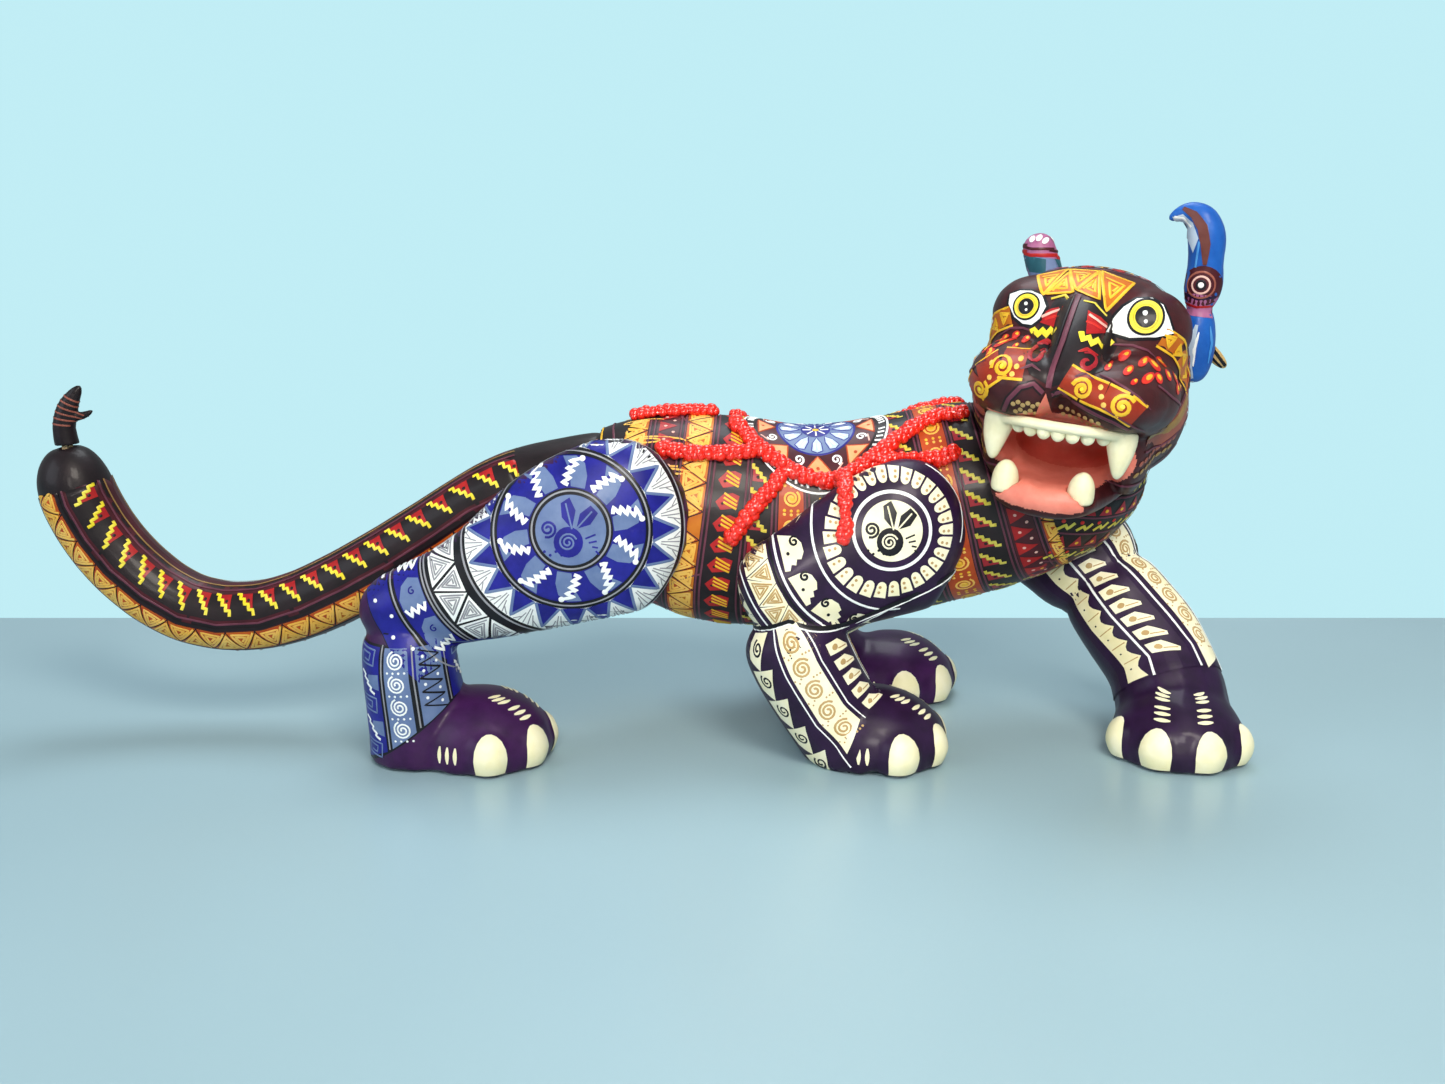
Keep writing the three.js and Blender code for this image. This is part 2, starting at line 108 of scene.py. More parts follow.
# Paint pots, one material each: the colour as mixed, and where the brush left it thinner
potColours = {
    "nightBrown": ("#150d10", "#23151a"), "maroon": ("#3a1019", "#521823"), "plumBrown": ("#331317", "#4b1b1e"),
    "bloodRed": ("#9c1219", "#b92420"), "chileRed": ("#c01a1c", "#d23a26"), "gold": ("#dba51c", "#efc238"),
    "sunYellow": ("#ead321", "#f2e25c"), "marigold": ("#b85c10", "#ca771e"), "paleOrange": ("#eab044", "#f0c468"),
    "tan": ("#b08f58", "#c6a873"), "cream": ("#eee6c0", "#f5f0d8"), "bone": ("#e3d9a8", "#efe8c6"),
    "ultramarine": ("#141474", "#222296"), "slateBlue": ("#5b6f9a", "#7285ab"), "ink": ("#08070e", "#14121c"),
    "pewter": ("#86878f", "#9c9da4"), "chalk": ("#e9ecec", "#f6f7f5"), "skyBlue": ("#3c86cf", "#5a9bd8"),
    "aubergine": ("#1f0c2a", "#2e153c"), "grapePaw": ("#2f0f3c", "#41194f"), "clawCream": ("#eee7ba", "#f6f1d4"),
    # the throat's darker salmon on the next line is painted shade for the back of the mouth
    "gumPink": ("#d4705f", "#e48a78"), "throatShadeRed": ("#c65343", "#d8685a"), "parrotBlue": ("#1450a6", "#2366bd"),
    "chestnut": ("#a83a14", "#bd4e1c"), "emberOrange": ("#b5480f", "#c65c18"),
    "maroonRed": ("#931a26", "#a82a34"),
    "oldYellow": ("#c9b42c", "#ddd064"),
    "plumEdge": ("#5a2a3a", "#6f3a4a"), "bronze": ("#8a6a3a", "#a3834c"), "rosewood": ("#8a4a3c", "#a05c4c"),
    "palePink": ("#dfa79a", "#e9c0b4"), "peach": ("#ec9a62", "#f2b184"), "paleSlate": ("#a9bdd3", "#c4d3e2"),
    "scrollRed": ("#8a2412", "#a23417"), "toothCream": ("#e2dcb4", "#efebcd"),
    "orchid": ("#9a5480", "#b06f94"), "cocoa": ("#5c2c26", "#70403a"), "teal": ("#1c4a58", "#2c6272"),
}
pots = {}


def pot(name):
    if name not in pots:
        main, worn = potColours[name]
        pots[name] = varnishedAcrylic("acrylic_" + name, main, worn)
    return pots[name]


# Carved skins: each block keeps its own shape, with its edges rounded and sanded
def meshCopy(node, name):
    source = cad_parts[node]
    copy = bpy.data.objects.new(name, source.data.copy())
    bpy.context.scene.collection.objects.link(copy)
    copy.data.materials.clear()
    return copy


def applyAll(piece):
    bpy.context.view_layer.update()
    graph = bpy.context.evaluated_depsgraph_get()
    baked = bpy.data.meshes.new_from_object(piece.evaluated_get(graph))
    old = piece.data
    piece.modifiers.clear()
    piece.data = baked
    bpy.data.meshes.remove(old)


def smoothShade(piece):
    piece.data.polygons.foreach_set("use_smooth", [True] * len(piece.data.polygons))
    piece.data.update()


def carveSkin(node, name, body, paintName, voxel=1.3, rounds=8, levels=2):
    piece = meshCopy(node, name)
    weld = piece.modifiers.new("weld", "WELD")
    weld.merge_threshold = 0.00001
    swell = piece.modifiers.new("swell", "SUBSURF")
    swell.levels = levels
    remesh = piece.modifiers.new("remesh", "REMESH")
    remesh.mode = "VOXEL"
    remesh.voxel_size = voxel / 1000
    sand = piece.modifiers.new("sand", "SMOOTH")
    sand.iterations = rounds
    sand.factor = 0.5
    applyAll(piece)
    smoothShade(piece)
    piece.data.materials.append(pot(paintName))
    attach(piece, body)
    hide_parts(node)
    return piece


def treeOf(*pieces):
    points = []
    faces = []
    for piece in pieces:
        start = len(points)
        points += [v.co.copy() for v in piece.data.vertices]
        faces += [[start + i for i in p.vertices] for p in piece.data.polygons]
    return BVHTree.FromPolygons(points, faces)


# Charts: flat drawing coordinates in mm laid onto a carved surface
def flatChart(tree, centre, facing, right, reach=0.09, edge=2.5):
    facing = facing.normalized()
    right = (right - facing * right.dot(facing)).normalized()
    up = facing.cross(right)

    def onto(x, y):
        level = centre + right * (x / 1000) + up * (y / 1000)
        hit, normal, _, _ = tree.ray_cast(level + facing * reach, -facing, reach * 2)
        if hit is None or normal.dot(facing) < 0.05:
            hit, normal, _, _ = tree.find_nearest(level)
            aside = hit - level
            if (aside - facing * aside.dot(facing)).length > edge / 1000:
                return None
        return hit, normal
    return onto


def limbChart(tree, stops, reference, radius, reach=0.08):
    lengths = [0.0]
    for a, b in zip(stops, stops[1:]):
        lengths.append(lengths[-1] + (b - a).length * 1000)

    def onto(s, around):
        s = max(0.0, min(lengths[-1] - 1e-6, s))
        k = max(i for i in range(len(stops) - 1) if lengths[i] <= s)
        f = (s - lengths[k]) / (lengths[k + 1] - lengths[k])
        before = (stops[k] - stops[k - 1]) if k > 0 else (stops[1] - stops[0])
        here = stops[k + 1] - stops[k]
        after = (stops[k + 2] - stops[k + 1]) if k + 2 < len(stops) else here
        startDir = (before.normalized() + here.normalized()).normalized()
        endDir = (here.normalized() + after.normalized()).normalized()
        along = startDir.lerp(endDir, f).normalized()
        side = (reference - along * reference.dot(along)).normalized()
        over = along.cross(side)
        turn = around / radius
        out = side * math.cos(turn) - over * math.sin(turn)
        centre = stops[k].lerp(stops[k + 1], f)
        hit, normal, _, _ = tree.ray_cast(centre, out, reach)
        if hit is None:
            return None
        if normal.dot(out) < 0:
            normal = -normal
        return hit, normal
    onto.length = lengths[-1]
    return onto


def shifted(chart, dx, dy, sx=1.0, sy=1.0, turn=0.0):
    c, s = math.cos(math.radians(turn)), math.sin(math.radians(turn))

    def onto(x, y):
        return chart(dx + sx * (x * c - y * s), dy + sy * (x * s + y * c))
    return onto


# A painter lays thin raised paint on the surface: fills, brush lines and dots. Each layer lies a tenth of a mm
# higher.
paintRelief = {"layer": 0.0001, "first": 0.00006, "lineCrest": 0.00008, "dotCrest": 0.00015, "edge": 0.7}


def liftOf(layer):
    return paintRelief["layer"] * layer + paintRelief["first"]


class Painter:
    def __init__(self, name, body):
        self.name = name
        self.body = body
        self.points = []
        self.faces = []
        self.looks = []
        self.pots = []

    def look(self, potName):
        if potName not in self.pots:
            self.pots.append(potName)
        return self.pots.index(potName)

    def fill(self, chart, outline, potName, layer=1, step=2.2):
        lift = liftOf(layer)
        ring = []
        for a, b in zip(outline, outline[1:] + outline[:1]):
            count = max(1, int(math.hypot(b[0] - a[0], b[1] - a[1]) / step))
            ring += [(a[0] + (b[0] - a[0]) * i / count, a[1] + (b[1] - a[1]) * i / count) for i in range(count)]
        lowX, highX = min(p[0] for p in ring), max(p[0] for p in ring)
        lowY, highY = min(p[1] for p in ring), max(p[1] for p in ring)
        inner = []
        x = lowX + step * 0.7
        while x < highX:
            y = lowY + step * 0.7
            while y < highY:
                if insideRing(x, y, ring):
                    inner.append((x, y))
                y += step
            x += step
        flat = [Vector(p) for p in ring + inner]
        edges = [(i, (i + 1) % len(ring)) for i in range(len(ring))]
        made = delaunay_2d_cdt(flat, edges, [], 1, 0.0001)
        spots = {}
        index = self.look(potName)
        for face in made[2]:
            corners = []
            for i in face:
                if i not in spots:
                    hit = chart(made[0][i][0], made[0][i][1])
                    spots[i] = None
                    if hit:
                        spots[i] = len(self.points)
                        self.points.append(hit[0] + hit[1] * lift)
                corners.append(spots[i])
            if None not in corners:
                self.faces.append(corners)
                self.looks.append(index)

    def line(self, chart, path, width, potName, layer=2, closed=False, taper=False):
        lift = liftOf(layer)
        step = max(0.9, width * 0.7)
        dense = []
        loop = path + path[:1] if closed else path
        for a, b in zip(loop, loop[1:]):
            count = max(1, int(math.hypot(b[0] - a[0], b[1] - a[1]) / step + 0.5))
            dense += [(a[0] + (b[0] - a[0]) * i / count, a[1] + (b[1] - a[1]) * i / count) for i in range(count)]
        dense.append(loop[-1])
        index = self.look(potName)
        places = [chart(x, y) for x, y in dense]
        last = None
        for i, here in enumerate(places):
            if here is None:
                last = None
                continue
            ahead = places[min(i + 1, len(places) - 1)] or here
            behind = places[max(i - 1, 0)] or here
            if closed and i in (0, len(places) - 1):
                ahead, behind = places[1] or here, places[-2] or here
            along = (ahead[0] - behind[0])
            if along.length < 1e-7:
                continue
            side = along.cross(here[1]).normalized()
            half = width / 2000
            if taper:
                half *= 0.35 + 0.65 * math.sin(math.pi * min(0.999, max(0.001, i / (len(places) - 1))))
            base = len(self.points)
            self.points.append(here[0] + side * half + here[1] * lift * paintRelief["edge"])
            self.points.append(here[0] + here[1] * (lift + paintRelief["lineCrest"]))
            self.points.append(here[0] - side * half + here[1] * lift * paintRelief["edge"])
            if last is not None:
                self.faces.append([last, last + 1, base + 1, base])
                self.faces.append([last + 1, last + 2, base + 2, base + 1])
                self.looks += [index, index]
            last = base

    def dot(self, chart, x, y, radius, potName, layer=2, stretch=1.0, turn=0.0):
        here = chart(x, y)
        if here is None:
            return
        index = self.look(potName)
        lift = liftOf(layer)
        c, s = math.cos(math.radians(turn)), math.sin(math.radians(turn))
        sides = 8 if radius < 1.2 else 14
        rim = []
        for i in range(sides):
            a = 2 * math.pi * i / sides
            px, py = math.cos(a) * radius * stretch, math.sin(a) * radius
            hit = chart(x + px * c - py * s, y + px * s + py * c)
            if hit is None:
                return
            rim.append(len(self.points))
            self.points.append(hit[0] + hit[1] * lift * paintRelief["edge"])
        top = len(self.points)
        self.points.append(here[0] + here[1] * (lift + paintRelief["dotCrest"]))
        for i in range(sides):
            self.faces.append([rim[i], rim[(i + 1) % sides], top])
            self.looks.append(index)

    def finish(self):
        mesh = bpy.data.meshes.new(self.name)
        mesh.from_pydata([tuple(p) for p in self.points], [], self.faces)
        for name in self.pots:
            mesh.materials.append(pot(name))
        mesh.polygons.foreach_set("material_index", self.looks)
        mesh.polygons.foreach_set("use_smooth", [True] * len(self.faces))
        mesh.update()
        piece = bpy.data.objects.new(self.name, mesh)
        bpy.context.scene.collection.objects.link(piece)
        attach(piece, self.body)
        print("painted", self.name, len(self.faces), "faces")
        return piece


def insideRing(x, y, ring):
    inside = False
    j = len(ring) - 1
    for i in range(len(ring)):
        if (ring[i][1] > y) != (ring[j][1] > y):
            cross = (ring[j][0] - ring[i][0]) * (y - ring[i][1]) / (ring[j][1] - ring[i][1]) + ring[i][0]
            if x < cross:
                inside = not inside
        j = i
    return inside


# Motifs, each a list of points
def circle(radius, count=48, start=0, end=360, cx=0.0, cy=0.0):
    span = end - start
    whole = abs(span) >= 360
    total = count if whole else count + 1
    return [(cx + radius * math.cos(math.radians(start + span * i / count)),
             cy + radius * math.sin(math.radians(start + span * i / count))) for i in range(total)]


def sector(inner, outer, start, end, count=6):
    return circle(outer, count, start, end) + circle(inner, count, end, start)


def polar(radius, angle):
    return (radius * math.cos(math.radians(angle)), radius * math.sin(math.radians(angle)))


def curl(cx, cy, radius, turns=2.0, start=0.0, way=1):
    count = int(turns * 14)
    return [(cx + radius * (1 - 0.86 * i / count) * math.cos(math.radians(start + way * 360 * turns * i / count)),
             cy + radius * (1 - 0.86 * i / count) * math.sin(math.radians(start + way * 360 * turns * i / count)))
            for i in range(count + 1)]


def cornerSpiral(corners, rounds=2.4):
    gx = sum(c[0] for c in corners) / len(corners)
    gy = sum(c[1] for c in corners) / len(corners)
    steps = int(rounds * len(corners))
    return [(gx + (corners[i % len(corners)][0] - gx) * (1 - 0.9 * i / steps),
             gy + (corners[i % len(corners)][1] - gy) * (1 - 0.9 * i / steps)) for i in range(steps)]


def inset(corners, keep):
    gx = sum(c[0] for c in corners) / len(corners)
    gy = sum(c[1] for c in corners) / len(corners)
    return [(gx + (x - gx) * keep, gy + (y - gy) * keep) for x, y in corners]


def stairs(x0, y0, x1, y1, count):
    path = [(x0, y0)]
    for i in range(count):
        path.append((x0 + (x1 - x0) * (i + 1) / count, y0 + (y1 - y0) * i / count))
        path.append((x0 + (x1 - x0) * (i + 1) / count, y0 + (y1 - y0) * (i + 1) / count))
    return path


# Carved pieces
skins = {
    "torso": carveSkin("torso", "torsoSkin", "figure", "nightBrown", 1.5, 10),
    "head": carveSkin("head", "headSkin", "figure", "plumBrown", 1.0, 9),
    "hindRight": carveSkin("leg_hind_right", "hindRightSkin", "figure", "grapePaw", 1.2, 9),
    "hindLeft": carveSkin("leg_hind_left", "hindLeftSkin", "figure", "grapePaw", 1.2, 9),
    "frontRight": carveSkin("leg_front_right", "frontRightSkin", "figure", "aubergine", 1.2, 9),
    "frontLeft": carveSkin("leg_front_left", "frontLeftSkin", "figure", "aubergine", 1.2, 9),
    "tail": carveSkin("tail", "tailSkin", "tail_piece", "nightBrown", 1.3, 8),
    "tailTip": carveSkin("tail_tip", "tailTipSkin", "tail_piece", "nightBrown", 0.6, 4, 1),
    "bird": carveSkin("ear_left_bird", "birdSkin", "ear_left_piece", "parrotBlue", 0.6, 6, 1),
    "feather": carveSkin("bird_feather", "featherSkin", "ear_left_piece", "tan", 0.4, 3, 1),
    "ear": carveSkin("ear_right", "earSkin", "ear_right_piece", "orchid", 0.7, 6, 1),
}
print("carved", len(skins), "pieces")

skinTrees = {name: treeOf(piece) for name, piece in skins.items()}


# Camera, a pale lacquered table that ends not far behind the figure, and four lamps, each with its place, aim,
# size, power and tint
stageLook = {"lens": 36, "cameraY": -675, "cameraZ": 228, "tilt": 11.4, "tableHalf": 9.0, "tableBack": 0.22,
             "tableDrop": 0.0002, "backdrop": 0.95, "glow": 0.42, "narrowLamp": 40}
lamps = [("keyLight", (0.35, -1.1, 1.15), (0, 0, 0.1), 0.5, 16, "#fff6ea"),
         ("fillLight", (-1.2, -0.7, 0.7), (0, 0, 0.1), 0.9, 6, "#eaf4ff"),
         ("frontLight", (0.0, -1.3, 0.62), (0.16, 0, 0.13), 0.4, 0.6, "#fff8f0"),
         ("topLight", (0.1, 0.5, 1.5), (0, 0, 0.1), 0.8, 12, "#f4faff")]


def setStage():
    cameraData = bpy.data.cameras.new("camera")
    cameraData.lens = stageLook["lens"]
    cameraData.sensor_width = 36
    cameraData.clip_start = 0.02
    camera = bpy.data.objects.new("camera", cameraData)
    camera.location = spot(0, stageLook["cameraY"], stageLook["cameraZ"])
    camera.rotation_euler = (math.radians(90 - stageLook["tilt"]), 0, 0)
    bpy.context.scene.collection.objects.link(camera)
    bpy.context.scene.camera = camera

    floorMesh = bpy.data.meshes.new("floor")
    half, back = stageLook["tableHalf"], stageLook["tableBack"]
    floorMesh.from_pydata([(-half, -half, 0), (half, -half, 0), (half, back, 0), (-half, back, 0)], [],
                          [[0, 1, 2, 3]])
    floor = bpy.data.objects.new("floor", floorMesh)
    floor.location.z = -stageLook["tableDrop"]
    bpy.context.scene.collection.objects.link(floor)
    material, tree, where = newMaterial("pale_lacquered_table")  # smooth blue-grey top with soft reflections
    grain = addNode(tree, "ShaderNodeTexNoise", inputs={"Scale": 3, "Detail": 2}, links={"Vector": where})
    tone = addNode(tree, "ShaderNodeMix", {"data_type": "RGBA"},
                   {"A": linearColour("#93b0ba"), "B": linearColour("#a2bec8")},
                   {"Factor": grain.outputs["Fac"]})
    skin = addNode(tree, "ShaderNodeBsdfPrincipled", inputs={"Roughness": 0.32, "IOR": 1.45},
                   links={"Base Color": tone.outputs["Result"]})
    closeMaterial(tree, skin.outputs["BSDF"])
    floorMesh.materials.append(material)

    world = bpy.data.worlds.new("studio")
    bpy.context.scene.world = world
    world.use_nodes = True
    tree = world.node_tree
    tree.nodes.clear()
    seen = addNode(tree, "ShaderNodeBackground",
                   inputs={"Color": linearColour("#c6f3fb"), "Strength": stageLook["backdrop"]})
    glow = addNode(tree, "ShaderNodeBackground",
                   inputs={"Color": linearColour("#dff2f6"), "Strength": stageLook["glow"]})
    rays = addNode(tree, "ShaderNodeLightPath")
    both = addNode(tree, "ShaderNodeMixShader")
    tree.links.new(rays.outputs["Is Camera Ray"], both.inputs[0])
    tree.links.new(glow.outputs[0], both.inputs[1])
    tree.links.new(seen.outputs[0], both.inputs[2])
    addNode(tree, "ShaderNodeOutputWorld", links={"Surface": both.outputs[0]})
    bpy.context.scene.view_settings.view_transform = "Standard"
    for name, place, aim, size, power, tint in lamps:
        data = bpy.data.lights.new(name, "AREA")
        data.size = size
        data.energy = power
        if name == "frontLight":
            data.spread = math.radians(stageLook["narrowLamp"])  # stays on the figure and off the table
        data.color = linearColour(tint)[:3]
        light = bpy.data.objects.new(name, data)
        light.location = place
        light.rotation_euler = (Vector(aim) - Vector(place)).to_track_quat("-Z", "Y").to_euler()
        bpy.context.scene.collection.objects.link(light)


setStage()
print("stage set")


def pawChart(tree, x, y, heading, radius, height=3, reach=0.09):
    centre = spot(x, y, height)

    def onto(u, v):
        a = math.radians(heading) + u / radius
        e = max(-0.05, v / radius)
        out = Vector((math.cos(a) * math.cos(e), math.sin(a) * math.cos(e), math.sin(e)))
        hit, normal, _, _ = tree.ray_cast(centre, out, reach)
        if hit is None:
            return None
        if normal.dot(out) < 0:
            normal = -normal
        return hit, normal
    return onto


# Paws: cream nails in front, rows of cream dashes over the toes
pawLook = {"pawRadius": 32, "nailWidth": 14.5, "nailHeight": 17.0, "toes": (-66, -22, 22, 66), "dashLength": 7.5,
           "dashWidth": 2.0}


def paintPaw(painter, tree, x, y, heading):
    radius = pawLook["pawRadius"]
    chart = pawChart(tree, x, y, heading, radius)
    half, tall = pawLook["nailWidth"] / 2, pawLook["nailHeight"]
    for toe in pawLook["toes"]:
        u = math.radians(toe) * radius
        nail = [(u - half * 0.92, -1.2), (u + half * 0.92, -1.2), (u + half, 5)]
        nail += [(u + half * math.cos(math.radians(a)), 6 + (tall - 6) * math.sin(math.radians(a)))
                 for a in range(0, 181, 20)]
        nail += [(u - half, 5)]
        painter.fill(chart, nail, "clawCream", 3, 1.8)
        side = abs(toe) > 45
        reach = pawLook["dashLength"] / 2
        for k in range(3):
            if side:
                back = u + math.copysign(17 + 4.2 * k, toe)
                painter.line(chart, [(back, 3), (back, 11)], pawLook["dashWidth"], "clawCream", 2, taper=True)
                continue
            for high in (tall + 4.2 + 3.2 * k, tall + 15.6 + 2.6 * k):
                # circles of height shrink toward the top of the paw
                squeeze = max(0.42, math.cos(high / radius))
                w = u * 0.78 / squeeze
                painter.line(chart, [(w + reach / squeeze * t, high) for t in (-1, -0.5, 0, 0.5, 1)],
                             pawLook["dashWidth"],
                             "clawCream", 2, taper=True)


# Hind legs: blue star rings over the hip, white frets toward the hock
hindRings = {"disc": 15.3, "petalsIn": 18.3, "petalsOut": 32.3, "raysIn": 35.3, "raysOut": 47.3, "fretIn": 52.5,
             "fretOut": 66.0, "waveIn": 70.0, "waveOut": 81.5}


def ringFill(painter, chart, inner, outer, potName, layer=2, start=0, end=360, parts=6):
    span = (end - start) / parts
    for k in range(parts):
        painter.fill(chart, sector(inner, outer, start + span * k, start + span * (k + 1), 14), potName, layer)


def paintHindThigh(painter, chart):
    r = hindRings
    ringFill(painter, chart, r["raysOut"], r["waveOut"] + 14, "ink", 1, 140, 228, 5)
    ringFill(painter, chart, r["raysOut"], r["fretOut"] + 4, "ink", 1, 228, 262, 2)
    ringFill(painter, chart, r["petalsOut"], r["raysOut"] + 5, "ink", 1)
    ringFill(painter, chart, r["disc"], r["petalsOut"], "ultramarine", 1)
    painter.fill(chart, circle(r["petalsIn"], 48), "ink", 2)
    painter.fill(chart, circle(r["disc"], 48), "slateBlue", 3)
    painter.line(chart, circle(17.0, 60), 0.8, "pewter", 4, closed=True)
    paintGlyph(painter, chart, 1.12, "ultramarine", "slateBlue", 4)
    for k in range(10):
        a = 12 + 36 * k
        petal = [polar(r["petalsIn"] + 0.6, a - 13), polar(r["petalsIn"] + 6, a - 11),
                 polar(r["petalsOut"] - 3, a - 6),
                 polar(r["petalsOut"] - 0.4, a + 2), polar(r["petalsOut"] - 0.4, a + 13),
                 polar(r["petalsIn"] + 7, a + 7),
                 polar(r["petalsIn"] + 0.6, a + 6)]
        painter.fill(chart, petal, "slateBlue", 2)
        b = a + 15
        path = []
        for i in range(9):
            radius = r["petalsIn"] + 1.2 + (r["petalsOut"] - r["petalsIn"] - 2.4) * i / 8
            path.append(polar(radius, b - 5 - i * 1.5 + (8 if i % 2 else -1)))
        painter.line(chart, path, 1.6, "chalk", 4)
        painter.dot(chart, *path[-1], 1.3, "chalk", 4)
        painter.dot(chart, *polar(r["petalsOut"] - 4.5, a + 6), 1.1, "ultramarine", 4)
    ringFill(painter, chart, r["petalsOut"], r["raysIn"], "ink", 3)
    ringFill(painter, chart, r["raysIn"], r["raysOut"], "chalk", 2)
    painter.line(chart, circle(33.8, 90), 0.8, "pewter", 5, closed=True)
    rays = 20
    for k in range(rays):
        a = 360 / rays * k
        half = 180 / rays
        tri = [polar(r["raysIn"] + 0.3, a - half * 0.95), polar(r["raysIn"] + 0.3, a + half * 0.95),
               polar(r["raysOut"] - 1, a)]
        painter.fill(chart, tri, "ultramarine", 3)
        painter.line(chart, [tri[0], tri[2], tri[1]], 1.3, "slateBlue", 5)
        gap = a + half
        for i in range(6):
            lean = -half * 0.78 + half * 1.56 * i / 5
            deep = r["raysIn"] + 2.5 + 9 * abs(lean) / half * 0.95
            painter.line(chart, [polar(r["raysOut"] - 0.3, gap + lean),
                                 polar(min(deep, r["raysOut"] - 2), gap + lean * 0.5)],
                         0.5, "pewter", 4)
    painter.line(chart, circle(48.9, 100), 0.9, "pewter", 4, closed=True)
    for k in range(7):
        a = 150 + 15.5 * k
        low, high = r["fretIn"] + 0.6, r["fretOut"] - 0.6
        up = [polar(low, a - 1), polar(high, a - 7), polar(high, a + 6)]
        down = [polar(high, a + 7.4), polar(low, a + 0.6), polar(low, a + 13.4)]
        for tri in (up, down):
            painter.fill(chart, inset(tri, 1.02), "chalk", 2)
            painter.line(chart, cornerSpiral(inset(tri, 0.8), 3.0), 0.75, "pewter", 4)
    for radius in (67.2, 68.8):
        painter.line(chart, circle(radius, 40, 150, 262), 0.75, "pewter", 3)
    ringFill(painter, chart, r["waveIn"], r["waveOut"], "ultramarine", 2, 150, 238, 5)
    for k in range(6):
        a = 158 + 14.5 * k
        wave = [polar(r["waveIn"] + 0.4, a - 4), polar(r["waveIn"] + 5, a - 5), polar(r["waveOut"] - 3, a - 3),
                polar(r["waveOut"] - 0.5, a + 1), polar(r["waveOut"] - 0.5, a + 5),
                polar(r["waveIn"] + 0.4, a + 5)]
        painter.fill(chart, wave, "slateBlue", 3)
        path = [polar(r["waveIn"] + 1 + 9.5 * i / 6, a + 5 + (2.2 if i % 2 else -0.6)) for i in range(7)]
        painter.line(chart, path, 1.3, "chalk", 5)
        cx, cy = polar(r["waveIn"] + 4.5, a - 0.5)
        painter.line(chart, curl(cx, cy, 1.8, 1.1, 90), 0.7, "ultramarine", 5)
    painter.line(chart, circle(83.2, 40, 150, 236), 0.75, "pewter", 3)
    ringFill(painter, chart, 84.5, 95, "ultramarine", 2, 165, 225, 3)
    for k in range(9):
        painter.dot(chart, *polar(87 + 4.4 * (k % 2), 172 + 5.6 * k), 0.9, "chalk", 4)


# A plain sprout: round seed with a spiral in it, two leaves and a curled root
def paintGlyph(painter, chart, size, dark, light, layer):
    place = shifted(chart, 0, 0, size, size)
    painter.fill(place, [(x * 0.95, y) for x, y in circle(6.0, 20, 0, 360, -1.0, -4.6)], dark, layer)
    for leaf in ([(0.5, 0.5), (-3.4, 5.0), (-3.8, 10.4), (-0.4, 12.6), (2.0, 7.6)],
                 [(2.2, 0.6), (3.6, 6.4), (7.8, 9.6), (10.6, 6.6), (7.6, 2.2)]):
        painter.fill(place, leaf, dark, layer)
        painter.line(place, [leaf[0], ((leaf[2][0] + leaf[3][0]) / 2 * 0.9, (leaf[2][1] + leaf[3][1]) / 2 * 0.9)],
                     0.7, light, layer + 2)
    painter.line(place, curl(-8.8, 0.6, 3.4, 1.8, 250), 1.1, dark, layer + 1)
    painter.line(place, curl(-1.2, -4.7, 3.6, 2.1, 20), 0.8, light, layer + 2)
    for k in range(4):
        painter.line(place, [(5.6 + k * 1.3, -3.2 - k * 1.6), (9.6 + k * 0.4, -1.6 - k * 2.6)], 0.8,
                     dark, layer + 1)
        painter.dot(place, -10.2 + k * 2.2, -8.2 - (k % 2) * 1.4, 0.6, dark, layer + 1)


def paintHindShank(painter, chart, start, long):
    strips = [(-29.5, -10.5, "fret"), (-7.6, 4.0, "curl"), (7.6, 21.5, "net"), (25, 44, "fret"),
              (47.5, 59, "curl"),
              (62.5, 76.5, "net"), (80, 98, "fret")]
    for v in range(-33, 105, 6):
        painter.fill(chart, [(start, v), (long(v), v), (long(v + 6), v + 6), (start, v + 6)], "ink", 1)
    for v0, v1, kind in strips:
        middle = (v0 + v1) / 2
        end = long(middle) - 1
        base = "ultramarine" if kind == "fret" else "slateBlue"
        painter.fill(chart, [(start + 1, v0), (long(v0) - 1, v0), (long(v1) - 1, v1), (start + 1, v1)], base, 2)
        painter.line(chart, [(start, v0 - 1.5), (long(v0) - 0.5, v0 - 1.5)], 0.7, "pewter", 3)
        s = start + 6
        k = 0
        while s < end - 4:
            if kind == "curl":
                painter.line(chart, curl(s, middle, 4.1, 2.3, 200), 0.8, "chalk", 4)
                for i in range(4):
                    painter.dot(chart, s + 5.2, v0 + 1.8 + (v1 - v0 - 3.6) * i / 3, 0.55, "chalk", 4)
                s += 10.3
            elif kind == "fret":
                if k % 2 == 0:
                    box = [(s - 4, v0 + 2.5), (s - 4, v1 - 2), (s + 4, v1 - 2), (s + 4, v0 + 2.5)]
                    painter.line(chart, cornerSpiral(box, 2.2), 0.8, "slateBlue", 4)
                else:
                    painter.fill(chart, [(s - 4, v1 - 0.5), (s + 3, v1 - 0.5), (s + 2, middle),
                                         (s - 3, middle + 2)], "slateBlue", 3)
                    path = [(s - 4 + 1.3 * i, middle - 4 + 1.1 * i + (2.4 if i % 2 else 0)) for i in range(8)]
                    painter.line(chart, path, 1.3, "chalk", 5)
                s += 10.5
                k += 1
            else:
                path = [(s - 4, v0 + 1.5), (s - 1, v1 - 1.5), (s + 2, v0 + 1.5), (s + 5, v1 - 1.5)]
                painter.line(chart, path, 0.7, "ink", 4)
                painter.dot(chart, s - 1, v0 + 3.5, 0.75, "chalk", 4)
                painter.dot(chart, s + 2, v1 - 3.5, 0.75, "chalk", 4)
                s += 6.2


near = Vector((0, -1, 0))
far = Vector((0, 1, 0))
ahead = Vector((1, 0, 0))


